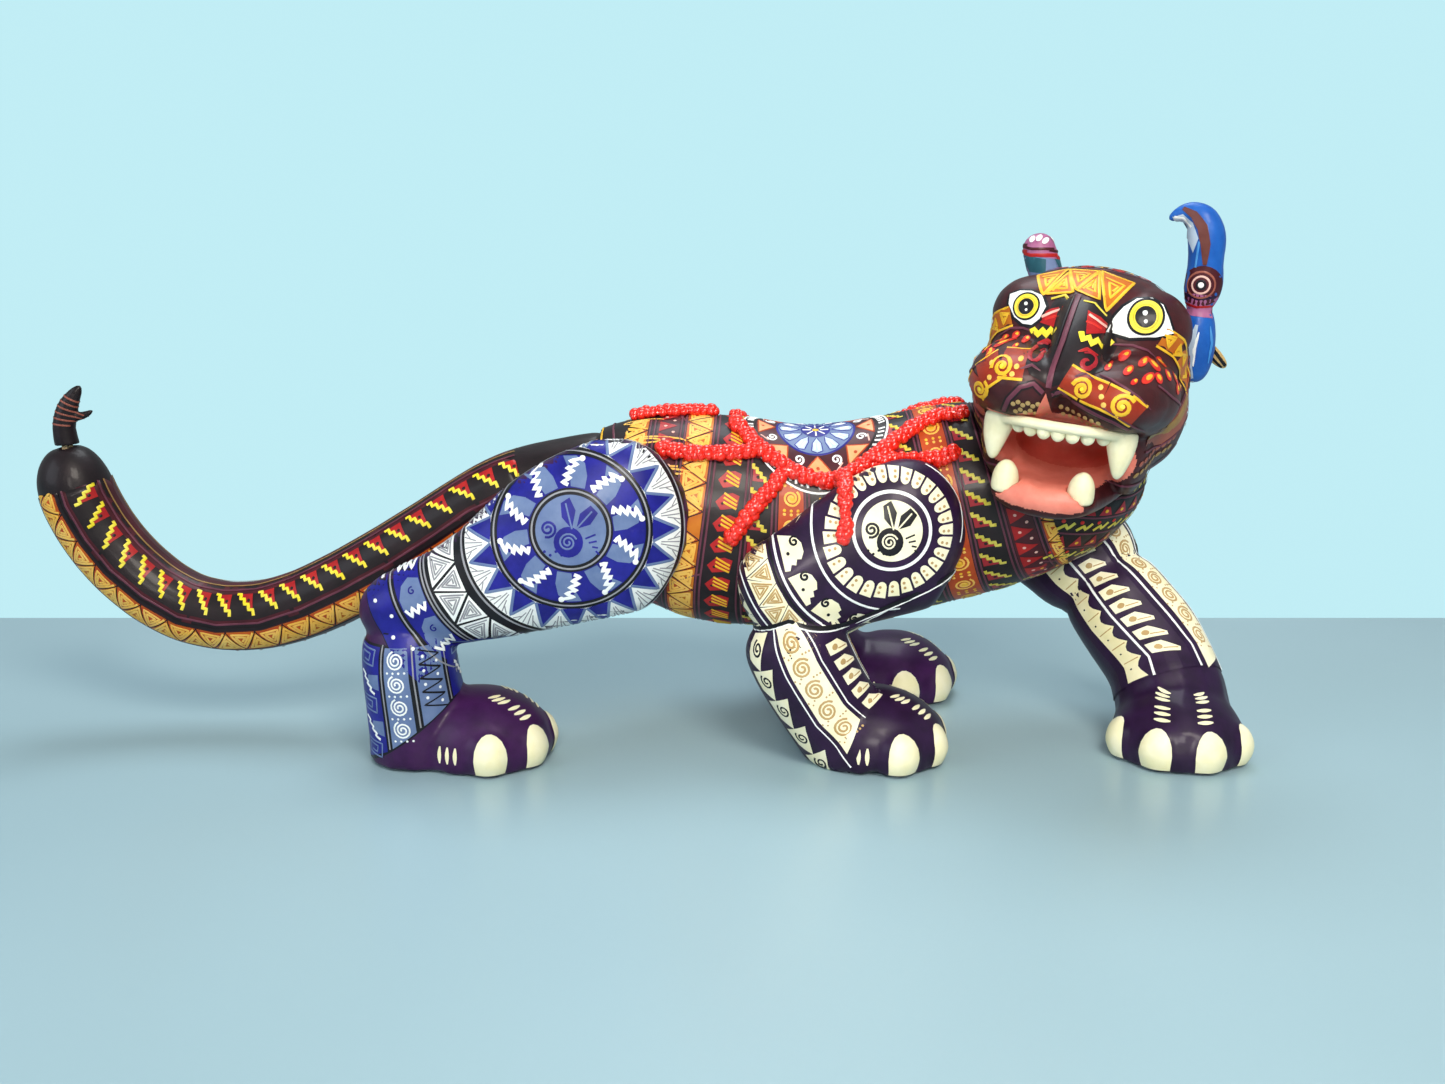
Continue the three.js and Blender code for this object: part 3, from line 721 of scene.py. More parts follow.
def paintHindRight():
    tree = skinTrees["hindRight"]
    painter = Painter("hindRightPaint", "figure")
    paintHindThigh(painter, flatChart(tree, spot(-66, -42, 107.5), Vector((0.02, -1, 0.1)), ahead))
    shank = limbChart(tree, [spot(-141, -48, 66), spot(-141, -47, 46), spot(-139, -44, 20), spot(-138, -42, 3)],
                      near, 22.5)
    paintHindShank(painter, shank, 6,
                   lambda v: 48 - 15 * math.sin(v / 22.5) if v < 35 else 33 + 0.3 * max(0, v - 62))
    paintPaw(painter, tree, -110, -42, -9)
    painter.finish()


def paintHindLeft():
    tree = skinTrees["hindLeft"]
    painter = Painter("hindLeftPaint", "figure")
    chart = flatChart(tree, spot(-22, 50, 106), Vector((0, 1, 0.08)), Vector((-1, 0, 0)))
    paintHindThigh(painter, shifted(chart, 0, 0, -1, 1, 32))
    shank = limbChart(tree, [spot(40, 51, 62), spot(43, 54, 43), spot(52, 56, 22), spot(64, 57, 6)], far, 21.5)
    paintHindShank(painter, shifted(shank, 0, 0, 1, -1), 6,
                   lambda v: 42 - 13 * math.sin(v / 21.5) if v < 35 else 29 + 0.3 * max(0, v - 62))
    paintPaw(painter, tree, 89, 57, -18)
    painter.finish()


paintHindRight()
paintHindLeft()


# Bands of triangles that hold square spirals, up and down in turn.
def triangleBand(painter, chart, s0, s1, v0, v1, base, ink, pitch=13.0, width=0.8, layer=2, accents=None):
    painter.fill(chart, [(s0, v0), (s1, v0), (s1, v1), (s0, v1)], base, layer, 3.0)
    count = max(1, round((s1 - s0) / pitch))
    each = (s1 - s0) / count
    for k in range(count):
        a = s0 + each * k
        up = [(a, v0), (a + each * 0.5, v1), (a + each, v0)]
        down = [(a + each * 0.5, v1), (a + each, v0), (a + each * 1.5, v1)]
        for n, tri in enumerate((up, down)):
            if n and k == count - 1:
                continue
            if accents and n == 0:
                painter.fill(chart, inset(tri, 0.95), accents[k % len(accents)], layer + 1, 3.0)
            painter.line(chart, cornerSpiral(inset(tri, 0.84), 2.7), width, ink, layer + 2)
            painter.line(chart, tri, 0.7, "nightBrown", layer + 1)


# Red stepped corners edged with yellow stairs, on a dark band.
def stepBand(painter, chart, s0, s1, v0, v1, flip=False, pitch=12.0, layer=2, red="bloodRed", yellow="sunYellow"):
    painter.fill(chart, [(s0, v0), (s1, v0), (s1, v1), (s0, v1)], "nightBrown", layer, 3.0)
    count = max(1, round((s1 - s0) / pitch))
    each = (s1 - s0) / count
    top, low = (v1, v0) if flip else (v0, v1)
    for k in range(count):
        a = s0 + each * (k + 0.12)
        b = a + each * 0.74
        mid = top + (low - top) * 0.86
        edge = stairs(b, top, a, mid, 4)
        painter.fill(chart, [(a, top)] + edge, red, layer + 1, 1.6)
        painter.line(chart, edge, 1.5, yellow, layer + 3)
        painter.dot(chart, a + each * 0.18, top + (low - top) * 0.28, 0.9, "nightBrown", layer + 3)


# Front legs: cream bone-like teeth round the shoulder, cream strips down the shank
frontRings = {"disc": 13.2, "white": 16.9, "teethIn": 20.5, "teethOut": 27.4, "bulge": 4.2, "arc": 36.0,
              "waveIn": 39.0, "waveOut": 49.5, "fretIn": 55.0, "fretOut": 66.5}


def toothReach(angle):
    return frontRings["bulge"] * max(0.0, math.cos(math.radians(angle - 225))) ** 2


def paintShoulder(painter, chart):
    r = frontRings
    ringFill(painter, chart, 0.01, r["fretOut"] + 16, "aubergine", 1, 150, 275, 6)
    painter.fill(chart, circle(r["white"] + 0.6, 60), "chalk", 2)
    painter.fill(chart, circle(r["white"] - 0.9, 60), "aubergine", 3)
    painter.fill(chart, circle(r["disc"], 48), "cream", 4)
    paintGlyph(painter, chart, 1.02, "ink", "cream", 5)
    for k in range(29):
        a = 360 / 29 * k
        low = r["teethIn"] + toothReach(a) * 0.8
        high = r["teethOut"] + toothReach(a)
        half = 360 / 29 * 0.41
        tooth = [polar(high, a - half), polar(high, a + half), polar(low + 2.2, a + half)]
        tooth += [polar(low + 2.2 - 2.2 * math.sin(math.radians(t)), a + half * math.cos(math.radians(t)))
                  for t in (35, 65, 90, 115, 145)]
        tooth += [polar(low + 2.2, a - half)]
        painter.fill(chart, tooth, "cream", 2, 2.0)
        for t in (0.35, 0.68):
            painter.dot(chart, *polar(low + (high - low) * t, a - half * 0.3), 0.7, "tan", 4)
    painter.line(chart, [polar(r["arc"] - 1.5 * math.cos(math.radians(a - 200)) ** 2, a)
                         for a in range(158, 284, 6)], 1.1, "chalk", 3)
    painter.line(chart, [polar(33.2 - abs(a - 20) * 0.03, a) for a in range(-12, 62, 6)], 1.1, "chalk", 3)
    for k in range(5):
        a = 172 + 20.5 * k
        low, high = r["waveIn"], r["waveOut"]
        wave = [polar(high, a - 8.4), polar(high, a + 8.6), polar(high - 2.2, a + 9.2),
                polar(high - 3.6, a + 6.4),
                polar(high - 5.4, a + 7.4), polar(high - 6.6, a + 4.4), polar(high - 8.4, a + 5),
                polar(low + 0.3, a + 1),
                polar(low + 0.6, a - 4.4), polar(low + 3.2, a - 8.4)]
        painter.fill(chart, wave, "cream", 2, 1.8)
        painter.line(chart, curl(*polar(low + 3.6, a - 5.4), 2.2, 1.3, 60), 1.1, "ink", 4)
        painter.dot(chart, *polar(high - 3.4, a + 0.5), 0.8, "ink", 4)
    painter.line(chart, circle(51.4, 40, 165, 262), 1.1, "chalk", 3)
    painter.line(chart, circle(53.6, 40, 165, 262), 1.1, "ink", 3)
    for k in range(9):
        a = 160 + 11.2 * k
        up = [polar(r["fretIn"] + 0.3, a - 0.6), polar(r["fretOut"] - 0.3, a - 5),
              polar(r["fretOut"] - 0.3, a + 5)]
        down = [polar(r["fretOut"] - 0.3, a + 5.6), polar(r["fretIn"] + 0.3, a),
                polar(r["fretIn"] + 0.3, a + 10.6)]
        for tri in (up, down):
            painter.fill(chart, inset(tri, 1.03), "cream", 2, 2.4)
            painter.line(chart, cornerSpiral(inset(tri, 0.78), 2.8), 0.75, "tan", 4)
    painter.line(chart, circle(68.3, 40, 165, 250), 1.0, "chalk", 3)
    ringFill(painter, chart, 71, 77, "cream", 2, 170, 232, 4)
    for k in range(4):
        painter.dot(chart, *polar(74, 178 + 14 * k), 1.0, "ink", 4)


def shankCurls(painter, chart, s0, s1, v0, v1, kind, layer):
    middle = (v0 + v1) / 2
    half = (v1 - v0) / 2
    if kind == "cream":
        painter.fill(chart, [(s0, v0), (s1, v0), (s1 - half, v1), (s0, v1)], "cream", layer, 3.0)
    place = s0 + half + 0.5
    while place < s1 - half * (1.4 if kind == "cream" else 0.8):
        if kind == "cream":
            painter.line(chart, curl(place, middle - 0.6, half * 0.66, 2.2, 120), 1.15, "tan", layer + 2)
            for k in (-1, 0, 1):
                painter.dot(chart, place + half * 0.8, middle + half * 0.55 + k * 1.7, 0.55, "tan", layer + 2)
                painter.dot(chart, place + half * 0.8 - 1.5 * abs(k), middle - half * 0.7 + k * 1.5, 0.5,
                            "tan", layer + 2)
            place += half * 1.62
        elif kind == "shark":
            tri = [(place - half * 0.95, v0 + 0.5), (place - half * 0.95, v1 - 0.8),
                   (place + half * 0.9, middle - half * 0.1),
                   (place + half * 0.2, v0 + 1.0)]
            painter.fill(chart, tri, "cream", layer + 1, 2.2)
            painter.line(chart, curl(place - half * 0.28, middle, half * 0.46, 1.6, 200), 1.15, "ink", layer + 3)
            place += half * 1.85
        else:
            petal = [(place - half * 0.62, v0 + 0.4), (place + half * 0.2, v0 + 0.4),
                     (place + half * 0.6, v1 - 1.0),
                     (place + half * 0.35, v1 - 0.4), (place - half * 0.5, middle + 1.0)]
            painter.fill(chart, petal, "cream", layer + 1, 2.2)
            painter.dot(chart, place - half * 0.1, middle - half * 0.3, half * 0.26, "tan", layer + 3, 1.3, 80)
            painter.line(chart, [(place + half * 0.1, middle - half * 0.1), (place + half * 0.34, v1 - 1.6)], 0.7,
                         "tan", layer + 3)
            place += half * 1.3


def paintFrontShank(painter, chart, start, long, strips, around, layer=5):
    for v in range(around[0], around[1], 6):
        painter.fill(chart, [(start(v), v), (long(v), v), (long(v + 6), v + 6), (start(v + 6), v + 6)],
                     "aubergine", layer)
    for v0, v1, kind in strips:
        top = start((v0 + v1) / 2)
        deeper = 9 if kind == "petal" else -0.6
        shankCurls(painter, chart, top + 1.2, long((v0 + v1) / 2) + deeper, v0, v1, kind, layer + 1)
        for edge, tone in ((v0 - 2.2, "chalk"), (v1 + 2.2, "chalk")):
            if kind == "cream":
                painter.line(chart, [(start(edge) + 1.0, edge), (long(edge) - 0.6, edge)], 1.0, tone, layer + 1)
    rim = range(around[0], around[1] + 1, 4)
    painter.line(chart, [(start(v) - 0.6, v) for v in rim], 2.6, "ink", layer + 3)
    painter.line(chart, [(start(v) + 0.9, v) for v in rim], 0.8, "chalk", layer + 3)


def paintFrontRight():
    tree = skinTrees["frontRight"]
    painter = Painter("frontRightPaint", "figure")
    paintShoulder(painter, flatChart(tree, spot(73.5, -42, 107.8), Vector((0, -1, 0.06)), ahead))
    stops = [spot(27, -46, 68), spot(35, -46, 49), spot(47, -44, 28.5), spot(64, -42, 12), spot(80, -42, -4)]
    shank = limbChart(tree, stops, near, 22.5)
    strips = [(-27, -12.5, "shark"), (-6.4, 7.2, "cream"), (13.6, 27, "petal"), (33, 45, "cream"),
              (51, 64, "shark"), (70, 83, "cream"),
              (89, 102, "petal")]
    start = lambda v: 15 * max(0.0, math.sin((v - 4) / 22.5)) ** 0.7
    paintFrontShank(painter, shank, start, lambda v: 63 - 14 * math.sin(v / 22.5), strips, (-33, 108))
    paintPaw(painter, tree, 70, -42, -6)
    painter.finish()


def paintFrontLeft():
    tree = skinTrees["frontLeft"]
    painter = Painter("frontLeftPaint", "figure")
    chart = flatChart(tree, spot(150, 40, 104), Vector((0.15, 1, 0.05)), Vector((-1, 0, 0)))
    paintShoulder(painter, shifted(chart, 0, 0, -1, 1, 20))
    stops = [spot(158, 30, 102), spot(180, 18, 77), spot(196, 3, 55), spot(209, -14, 35), spot(211, -30, 12)]
    shank = limbChart(tree, stops, near, 23)
    painter.fill(shank, [(2, -44), (106, -44), (106, -26), (2, -26)], "aubergine", 5, 4)
    strips = [(-22, -11, "spine"), (-6.8, 7.2, "petal"), (16.5, 29, "cream"), (35, 47, "shark"),
              (53, 66, "cream"), (72, 84, "petal")]
    for v in range(-26, 96, 6):
        painter.fill(shank, [(2, v), (106, v), (106, v + 6), (2, v + 6)], "aubergine", 5, 4)
    for v0, v1, kind in strips:
        if kind == "spine":
            outline = [(8, v0 + 1)]
            for k in range(9):
                a = 8 + 10.7 * k
                outline += [(a, v1), (a + 2.4, v1 - 2.6), (a + 4.6, v1 - 3.4), (a + 7.0, v1 - 2.6)]
            outline += [(105, v1), (105, v0 + 1)]
            painter.fill(shank, outline, "bone", 6, 2.4)
            for k in range(9):
                painter.line(shank, [(8 + 10.7 * k, v0 + 2.2), (8 + 10.7 * k, v1 - 1.4)], 0.6, "tan", 8)
                painter.dot(shank, 12.6 + 10.7 * k, (v0 + v1) / 2 - 1.5, 0.6, "ink", 8)
        else:
            shankCurls(painter, shank, 4, 107, v0, v1, kind, 6)
    for v in (-8.6, 13.2, 31.6, 50.6, 68.6):
        painter.line(shank, [(4, v), (50, v), (106, v)], 1.2, "chalk", 7)
    paintPaw(painter, tree, 210, -38, -102)
    painter.finish()


# Tail: red steps along the upper flank, an orange spiral band below, the same again on the far side
tailLook = {"radius": 17.5, "stepPitch": 12.0, "fretPitch": 13.0}


def paintTail():
    tree = skinTrees["tail"]
    painter = Painter("tailPaint", "tail_piece")
    line = ((-58, 129), (-76, 124.4), (-100, 118), (-118, 109), (-134, 98), (-156, 84), (-178, 72), (-198, 62.5),
            (-218, 56), (-238, 55), (-256, 59), (-272, 69), (-286, 82), (-296, 96), (-304, 112), (-308, 128),
            (-309, 138))
    stops = [spot(x, 0, z) for x, z in line]
    chart = limbChart(tree, stops, near, tailLook["radius"])
    end = chart.length - 2
    for v in range(-27, 83, 11):
        for k in range(6):
            painter.fill(chart, [(6 + (end - 6) * k / 6, v), (6 + (end - 6) * (k + 1) / 6, v),
                                 (6 + (end - 6) * (k + 1) / 6, v + 11),
                                 (6 + (end - 6) * k / 6, v + 11)], "maroon", 1, 5.0)
    stepBand(painter, chart, 8, end - 3, -15.6, -2.4, pitch=tailLook["stepPitch"])
    stepBand(painter, chart, 8, end - 3, 57.4, 70.6, flip=True, pitch=tailLook["stepPitch"])
    triangleBand(painter, chart, 8, end - 1, 3.6, 16.8, "marigold", "paleOrange", tailLook["fretPitch"], 1.15, 2,
                 ["chestnut", "emberOrange"])
    triangleBand(painter, chart, 8, end - 1, 38.2, 51.4, "marigold", "paleOrange", tailLook["fretPitch"], 1.15, 2,
                 ["chestnut", "emberOrange"])
    for v in (2.2, 18.0, 37.0, 52.8):
        painter.line(chart, [(8, v), (end - 2, v)], 1.6, "nightBrown", 3)
    for v in (-0.6, -18.6, 56, 73.6):
        painter.line(chart, [(8, v), (end - 2, v)], 1.0, "plumEdge", 4)
    for v in (-22.5, 77.5):
        painter.line(chart, [(8, v), (end - 2, v)], 0.9, "bronze", 3)
    for k in range(34):
        painter.dot(chart, 14 + 9.4 * k, 24.5, 0.9, "rosewood", 3)
        painter.dot(chart, 18.5 + 9.4 * k, 31.0, 0.9, "rosewood", 3)
    painter.finish()

    tipTree = skinTrees["tailTip"]
    painter = Painter("tailTipPaint", "tail_piece")
    tip = limbChart(tipTree,
                    [spot(-307, 0, 134), spot(-309, 0, 147), spot(-306, 0, 157), spot(-300, 0, 166)], near, 5)
    for k in range(11):
        painter.line(tip, [(1.5 + 2.6 * k, v) for v in range(-8, 25, 3)], 0.8, "rosewood", 1)
    painter.finish()


# Torso: one ring of pattern after another from rump to throat
torsoLook = {"radius": 46, "low": -140, "high": 146, "bands": [
    (-66, -54, "scales"), (-51, -39, "frets"), (-35, -25, "scales"), (-21.5, -9.5, "frets"),
    (-6.2, 8.4, "petals"), (12, 21.6, "steps"), (25.4, 37.4, "swirls"), (41.4, 53, "petals"),
    (56.6, 66.4, "steps"), (70, 81, "scales"), (84.8, 95.6, "steps"), (99.4, 112.4, "swirls"),
    (116.4, 128, "steps"), (131.6, 143, "scales"), (146, 158, "frets")]}


def torsoBand(painter, chart, x0, x1, kind, slant):
    wide = x1 - x0
    turned = lambda v, x: chart(x + slant(v), v)
    low, high = torsoLook["low"], torsoLook["high"]
    if kind == "frets":
        for k in range(4):
            a, b = low + (high - low) * k / 4, low + (high - low) * (k + 1) / 4
            triangleBand(painter, turned, a, b, x0, x1, "marigold", "paleOrange", 14.0, 1.15, 2,
                         ["chestnut", "emberOrange"])
        return
    if kind == "steps":
        for k in range(4):
            a, b = low + (high - low) * k / 4, low + (high - low) * (k + 1) / 4
            stepBand(painter, turned, a, b, x0, x1, pitch=11.0, red="maroonRed", yellow="oldYellow")
        return
    base = {"petals": "nightBrown", "swirls": "chestnut", "scales": "maroon"}[kind]
    for k in range(6):
        a, b = low + (high - low) * k / 6, low + (high - low) * (k + 1) / 6
        painter.fill(turned, [(a, x0), (b, x0), (b, x1), (a, x1)], base, 2, 4.0)
    v = low + 6
    middle = (x0 + x1) / 2
    while v < high - 5:
        if kind == "petals":
            petal = [(v - 4.6, x0 + wide * 0.3), (v - 1.0, x0 + wide * 0.12), (v + 3.2, x0 + wide * 0.34),
                     (v + 4.2, x0 + wide * 0.62),
                     (v + 3.0, x0 + wide * 0.86), (v - 2.6, x0 + wide * 0.82)]
            painter.fill(turned, petal, "bloodRed", 3, 1.8)
            for k in range(3):
                painter.line(turned, [(v + 3.8 - 2.2 * k, middle - 2.0), (v + 0.2 - 1.8 * k, middle + 4.4)],
                             0.95, "gold", 5)
            painter.dot(turned, v - 1.4, x0 + wide * 0.34, 0.7, "nightBrown", 5)
            v += 10.8
        elif kind == "swirls":
            painter.line(turned, curl(v, middle, wide * 0.36, 2.1, 40), 1.0, "paleOrange", 4)
            painter.dot(turned, v, middle, wide * 0.14, "gold", 3)
            for k in (-1, 0, 1):
                painter.dot(turned, v + wide * 0.5, middle + k * wide * 0.27, 0.8, "paleOrange", 4)
                painter.dot(turned, v + wide * 0.66, middle + k * wide * 0.27, 0.8, "gold", 4)
            v += wide * 1.18
        else:
            tri = [(v - 4.4, x0 + 1), (v + 4.4, x0 + 1), (v, x1 - 1)]
            painter.fill(turned, tri, "bloodRed", 3, 2.4)
            painter.dot(turned, v, x0 + wide * 0.36, 0.8, "palePink", 5)
            painter.dot(turned, v - 5, x0 + wide * 0.74, 0.8, "palePink", 5)
            v += 10.0


def paintTorso():
    tree = skinTrees["torso"]
    painter = Painter("torsoPaint", "figure")
    line = ((-74, 0, 113), (-30, 0, 108), (0, 0, 103), (32, 0, 100), (68, 0, 103), (104, -1, 111), (136, -4, 118),
            (161, -8, 130))
    stops = [spot(x, y, z) for x, y, z in line]
    chart = limbChart(tree, stops, near, torsoLook["radius"])
    place = lambda x, v: chart(x + 74, v)  # the first stop is at x = -74
    slant = lambda v: 0.0022 * (v + 20) ** 2 if v < -20 else 0.0
    for x0, x1, kind in torsoLook["bands"]:
        torsoBand(painter, place, x0, x1, kind, slant)
        for edge in (x1 + 0.8, x1 + 2.8):
            painter.line(lambda v, x: place(x + slant(v), v), [(v, edge) for v in range(-140, 147, 5)], 0.9,
                         "plumEdge", 3)
    chest = flatChart(tree, spot(170, -14, 104), Vector((0.35, -0.8, -0.45)), Vector((0.92, 0.4, 0)))
    for row in range(9):
        y = 44 - 9 * row
        painter.line(chest, [(x, y) for x in range(-30, 49, 6)], 1.0, "plumEdge", 3)
        for k in range(10):
            x = -30 + 8.6 * k
            if row % 2:
                painter.fill(chest, [(x, y + 1.2), (x + 7, y + 1.2), (x + 3.5, y + 7.8)], "maroonRed", 2, 2.4)
                painter.dot(chest, x + 3.5, y + 3.4, 0.9, "gold", 4)
            else:
                painter.line(chest, [(x, y + 2), (x + 3, y + 4.6), (x + 4.4, y + 2.6), (x + 7, y + 6)], 1.5,
                             "oldYellow", 3)
                painter.dot(chest, x + 1.6, y + 6.4, 1.0, "chileRed", 3)
    rump = flatChart(tree, spot(-95, 0, 116), Vector((-1, 0, 0.1)), Vector((0, -1, 0)))
    for radius, tone in ((23, "plumEdge"), (34, "gold"), (36.5, "plumEdge"), (44, "plumEdge")):
        painter.line(rump, circle(radius, 60), 1.0, tone, 3, closed=True)
    for k in range(16):
        a = 22.5 * k
        tri = [polar(24.4, a - 9.4), polar(24.4, a + 9.4), polar(33, a)]
        painter.fill(rump, tri, ("bloodRed", "marigold")[k % 2], 2, 2.4)
        painter.line(rump, cornerSpiral(inset(tri, 0.7), 2.2), 0.9, ("palePink", "gold")[k % 2], 4)
        painter.line(rump, curl(*polar(40.2, a + 11), 2.6, 1.7, a), 1.0, "paleOrange", 3)
        painter.dot(rump, *polar(40.2, a), 0.9, "gold", 3)
    painter.finish()


# Saddle: one round flower over the back
saddleLook = {"x": 43, "spread": 1.2, "petals": 12, "cells": 16}


def paintSaddle():
    painter = Painter("saddlePaint", "figure")
    chart = flatChart(skinTrees["torso"], spot(saddleLook["x"], -9, 145), Vector((0, -0.32, 1)), ahead)
    chart = shifted(chart, 0, 0, saddleLook["spread"], saddleLook["spread"])
    ringFill(painter, chart, 14, 27.6, "nightBrown", 6)
    ringFill(painter, chart, 14.4, 23.2, "maroon", 7)
    for k in range(72):
        if k % 9 != 8:
            painter.line(chart, [polar(24.2, 5 * k), polar(26.6, 5 * k + 1.6)], 1.1, "chalk", 9)
    for radius, tone in ((23.4, "nightBrown"), (27.6, "chalk")):
        painter.line(chart, circle(radius, 80), 1.0, tone, 9, closed=True)
    cells = saddleLook["cells"]
    for k in range(cells):
        a = 360 / cells * k
        half = 180 / cells
        if k % 2 == 0:
            cell = [polar(22.8, a - half * 1.25), polar(22.8, a + half * 1.25), polar(15.8, a)]
            painter.fill(chart, cell, "peach", 8)
            painter.line(chart, cell, 0.8, "chestnut", 10, closed=True)
            painter.dot(chart, *polar(20.4, a), 0.9, "chestnut", 10)
        else:
            painter.line(chart, curl(*polar(18.4, a), 2.1, 1.4, a), 1.2, "chalk", 9)
            painter.line(chart, [polar(22.4, a - half * 0.4), polar(20.6, a + half * 0.4)], 0.9, "palePink", 9)
    painter.fill(chart, circle(15.0, 48), "slateBlue", 8)
    painter.line(chart, circle(14.9, 60), 1.2, "ultramarine", 10, closed=True)
    for k in range(saddleLook["petals"]):
        a = 360 / saddleLook["petals"] * k
        petal = [polar(13.4, a - 9), polar(14.2, a), polar(13.4, a + 9), polar(9.6, a + 10), polar(6.2, a),
                 polar(9.6, a - 10)]
        painter.fill(chart, petal, "paleSlate", 9)
        painter.line(chart, petal, 0.8, "ultramarine", 10, closed=True)
        for lean in (-4, 3):
            painter.line(chart, [polar(9.6, a + lean * 1.2), polar(12.8, a + lean)], 1.1, "chalk", 11)
    painter.fill(chart, circle(5.8, 30), "ultramarine", 9)
    for k in range(8):
        painter.line(chart, [polar(1.8, 45 * k), polar(5.0, 45 * k)], 1.1, "chalk", 11)
    painter.dot(chart, 0, 0, 1.8, "gold", 11)
    painter.finish()


# Raised red paint: a smooth core with droplets crowded over it
beadLook = {"small": 1.7, "large": 2.9, "spacing": 2.7, "seed": 11}


def glossyRelief():
    # a noise scale of 260 per metre gives tone changes about 4 mm wide
    material, tree, where = newMaterial("red_puff_paint")  # built-up paint dries to a hard, wet-looking skin
    mottle = addNode(tree, "ShaderNodeTexNoise", inputs={"Scale": 260, "Detail": 2}, links={"Vector": where})
    tone = addNode(tree, "ShaderNodeMix", {"data_type": "RGBA"},
                   {"A": linearColour("#d4120c"), "B": linearColour("#f2301e")},
                   {"Factor": mottle.outputs["Fac"]})
    skin = addNode(tree, "ShaderNodeBsdfPrincipled",
                   inputs={"Roughness": 0.16, "Coat Weight": 0.5, "Coat Roughness": 0.05, "IOR": 1.5},
                   links={"Base Color": tone.outputs["Result"]})
    closeMaterial(tree, skin.outputs["BSDF"])
    return material


def makeBeads(node, name, rng, redPaint):
    core = carveSkin(node, name + "Core", "figure", "chileRed", 0.9, 3, 1)
    core.data.materials.clear()
    core.data.materials.append(redPaint)
    spots = []
    grid = {}
    pitch = beadLook["spacing"] / 1000
    vertices = [v for v in core.data.vertices if v.co.z > 0.02]
    rng.shuffle(vertices)
    for v in vertices:
        key = tuple(int(c // pitch) for c in v.co)
        near3 = [q for dx in (-1, 0, 1) for dy in (-1, 0, 1) for dz in (-1, 0, 1)
                 for q in grid.get((key[0] + dx, key[1] + dy, key[2] + dz), [])]
        if all((q - v.co).length > pitch for q in near3):
            grid.setdefault(key, []).append(v.co.copy())
            spots.append((v.co.copy(), v.normal.copy()))
    ball = bmesh.new()
    bmesh.ops.create_icosphere(ball, subdivisions=2, radius=1.0)
    shell = [v.co.copy() for v in ball.verts]
    shellFaces = [[v.index for v in f.verts] for f in ball.faces]
    ball.free()
    points, faces = [], []
    for centre, normal in spots:
        size = (beadLook["small"] + (beadLook["large"] - beadLook["small"]) * rng.random()) / 1000
        start = len(points)
        points += [tuple(centre - normal * size * 0.45 + p * size) for p in shell]
        faces += [[start + i for i in f] for f in shellFaces]
    mesh = bpy.data.meshes.new(name)
    mesh.from_pydata(points, [], faces)
    mesh.polygons.foreach_set("use_smooth", [True] * len(faces))
    mesh.materials.append(redPaint)
    mesh.update()
    piece = bpy.data.objects.new(name, mesh)
    bpy.context.scene.collection.objects.link(piece)
    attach(piece, "figure")
    print("beaded", name, len(spots), "droplets")


def finishRelief():
    rng = random.Random(beadLook["seed"])
    redPaint = glossyRelief()
    for node, name in (("relief_near", "beadsNear"), ("relief_far", "beadsFar"), ("relief_ridge", "beadsRidge")):
        makeBeads(node, name, rng, redPaint)


paintFrontRight()
paintFrontLeft()
paintTail()
paintTorso()
paintSaddle()
finishRelief()


# Head: pitch and turn of the carved head, and where its features sit across (x) and up (z), mm
headLook = {"x": 163, "y": -22, "z": 171, "yaw": -20, "roll": 7}
headYaw = Matrix.Rotation(math.radians(headLook["yaw"]), 3, "Z")
headTurn = headYaw @ Matrix.Rotation(math.radians(headLook["roll"]), 3, "Y")
headMiddle = spot(headLook["x"], headLook["y"], headLook["z"])


def headChart(tree, turn=0.0, reach=0.09, edge=2.5):
    facing = headTurn @ Vector((math.sin(math.radians(turn)), -math.cos(math.radians(turn)), 0))
    right = headTurn @ Vector((math.cos(math.radians(turn)), math.sin(math.radians(turn)), 0))
    return flatChart(tree, headMiddle, facing, right, reach, edge)


def paintEye(painter, chart, x, y, size, almond):
    painter.line(chart, almond, 2.6, "ink", 4, closed=True)
    painter.fill(chart, almond, "chalk", 5, 1.6)
    painter.fill(chart, circle(size, 32, 0, 360, x, y), "ink", 7, 1.6)
    painter.fill(chart, circle(size * 0.87, 32, 0, 360, x, y), "sunYellow", 8, 1.6)
    painter.line(chart, circle(size * 0.66, 32, 0, 360, x, y), 0.6, "gold", 10, closed=True)
    painter.fill(chart, circle(size * 0.56, 28, 0, 360, x, y), "ink", 10, 1.4)
    # the two white dots on each pupil are painted highlights
    painter.dot(chart, x - size * 0.06, y + size * 0.2, size * 0.16, "chalk", 13)
    painter.dot(chart, x + size * 0.06, y - size * 0.22, size * 0.13, "chalk", 13)


def scrollBand(painter, chart, path, width, curls):
    for a, b in zip(path, path[1:]):
        run = Vector((b[0] - a[0], b[1] - a[1])).normalized()
        side = Vector((-run.y, run.x)) * width / 2
        painter.fill(chart, [(a[0] + side.x, a[1] + side.y), (b[0] + side.x, b[1] + side.y),
                             (b[0] - side.x, b[1] - side.y),
                             (a[0] - side.x, a[1] - side.y)], "scrollRed", 3, 2.0)
        for way in (1, -1):
            painter.line(chart, [(a[0] + side.x * way, a[1] + side.y * way),
                                 (b[0] + side.x * way, b[1] + side.y * way)], 1.2,
                         "gold", 5)
    for x, y, size, start, way in curls:
        painter.line(chart, curl(x, y, size, 1.7, start, way), 1.7, "gold", 6)
        painter.dot(chart, x, y, size * 0.22, "sunYellow", 7)


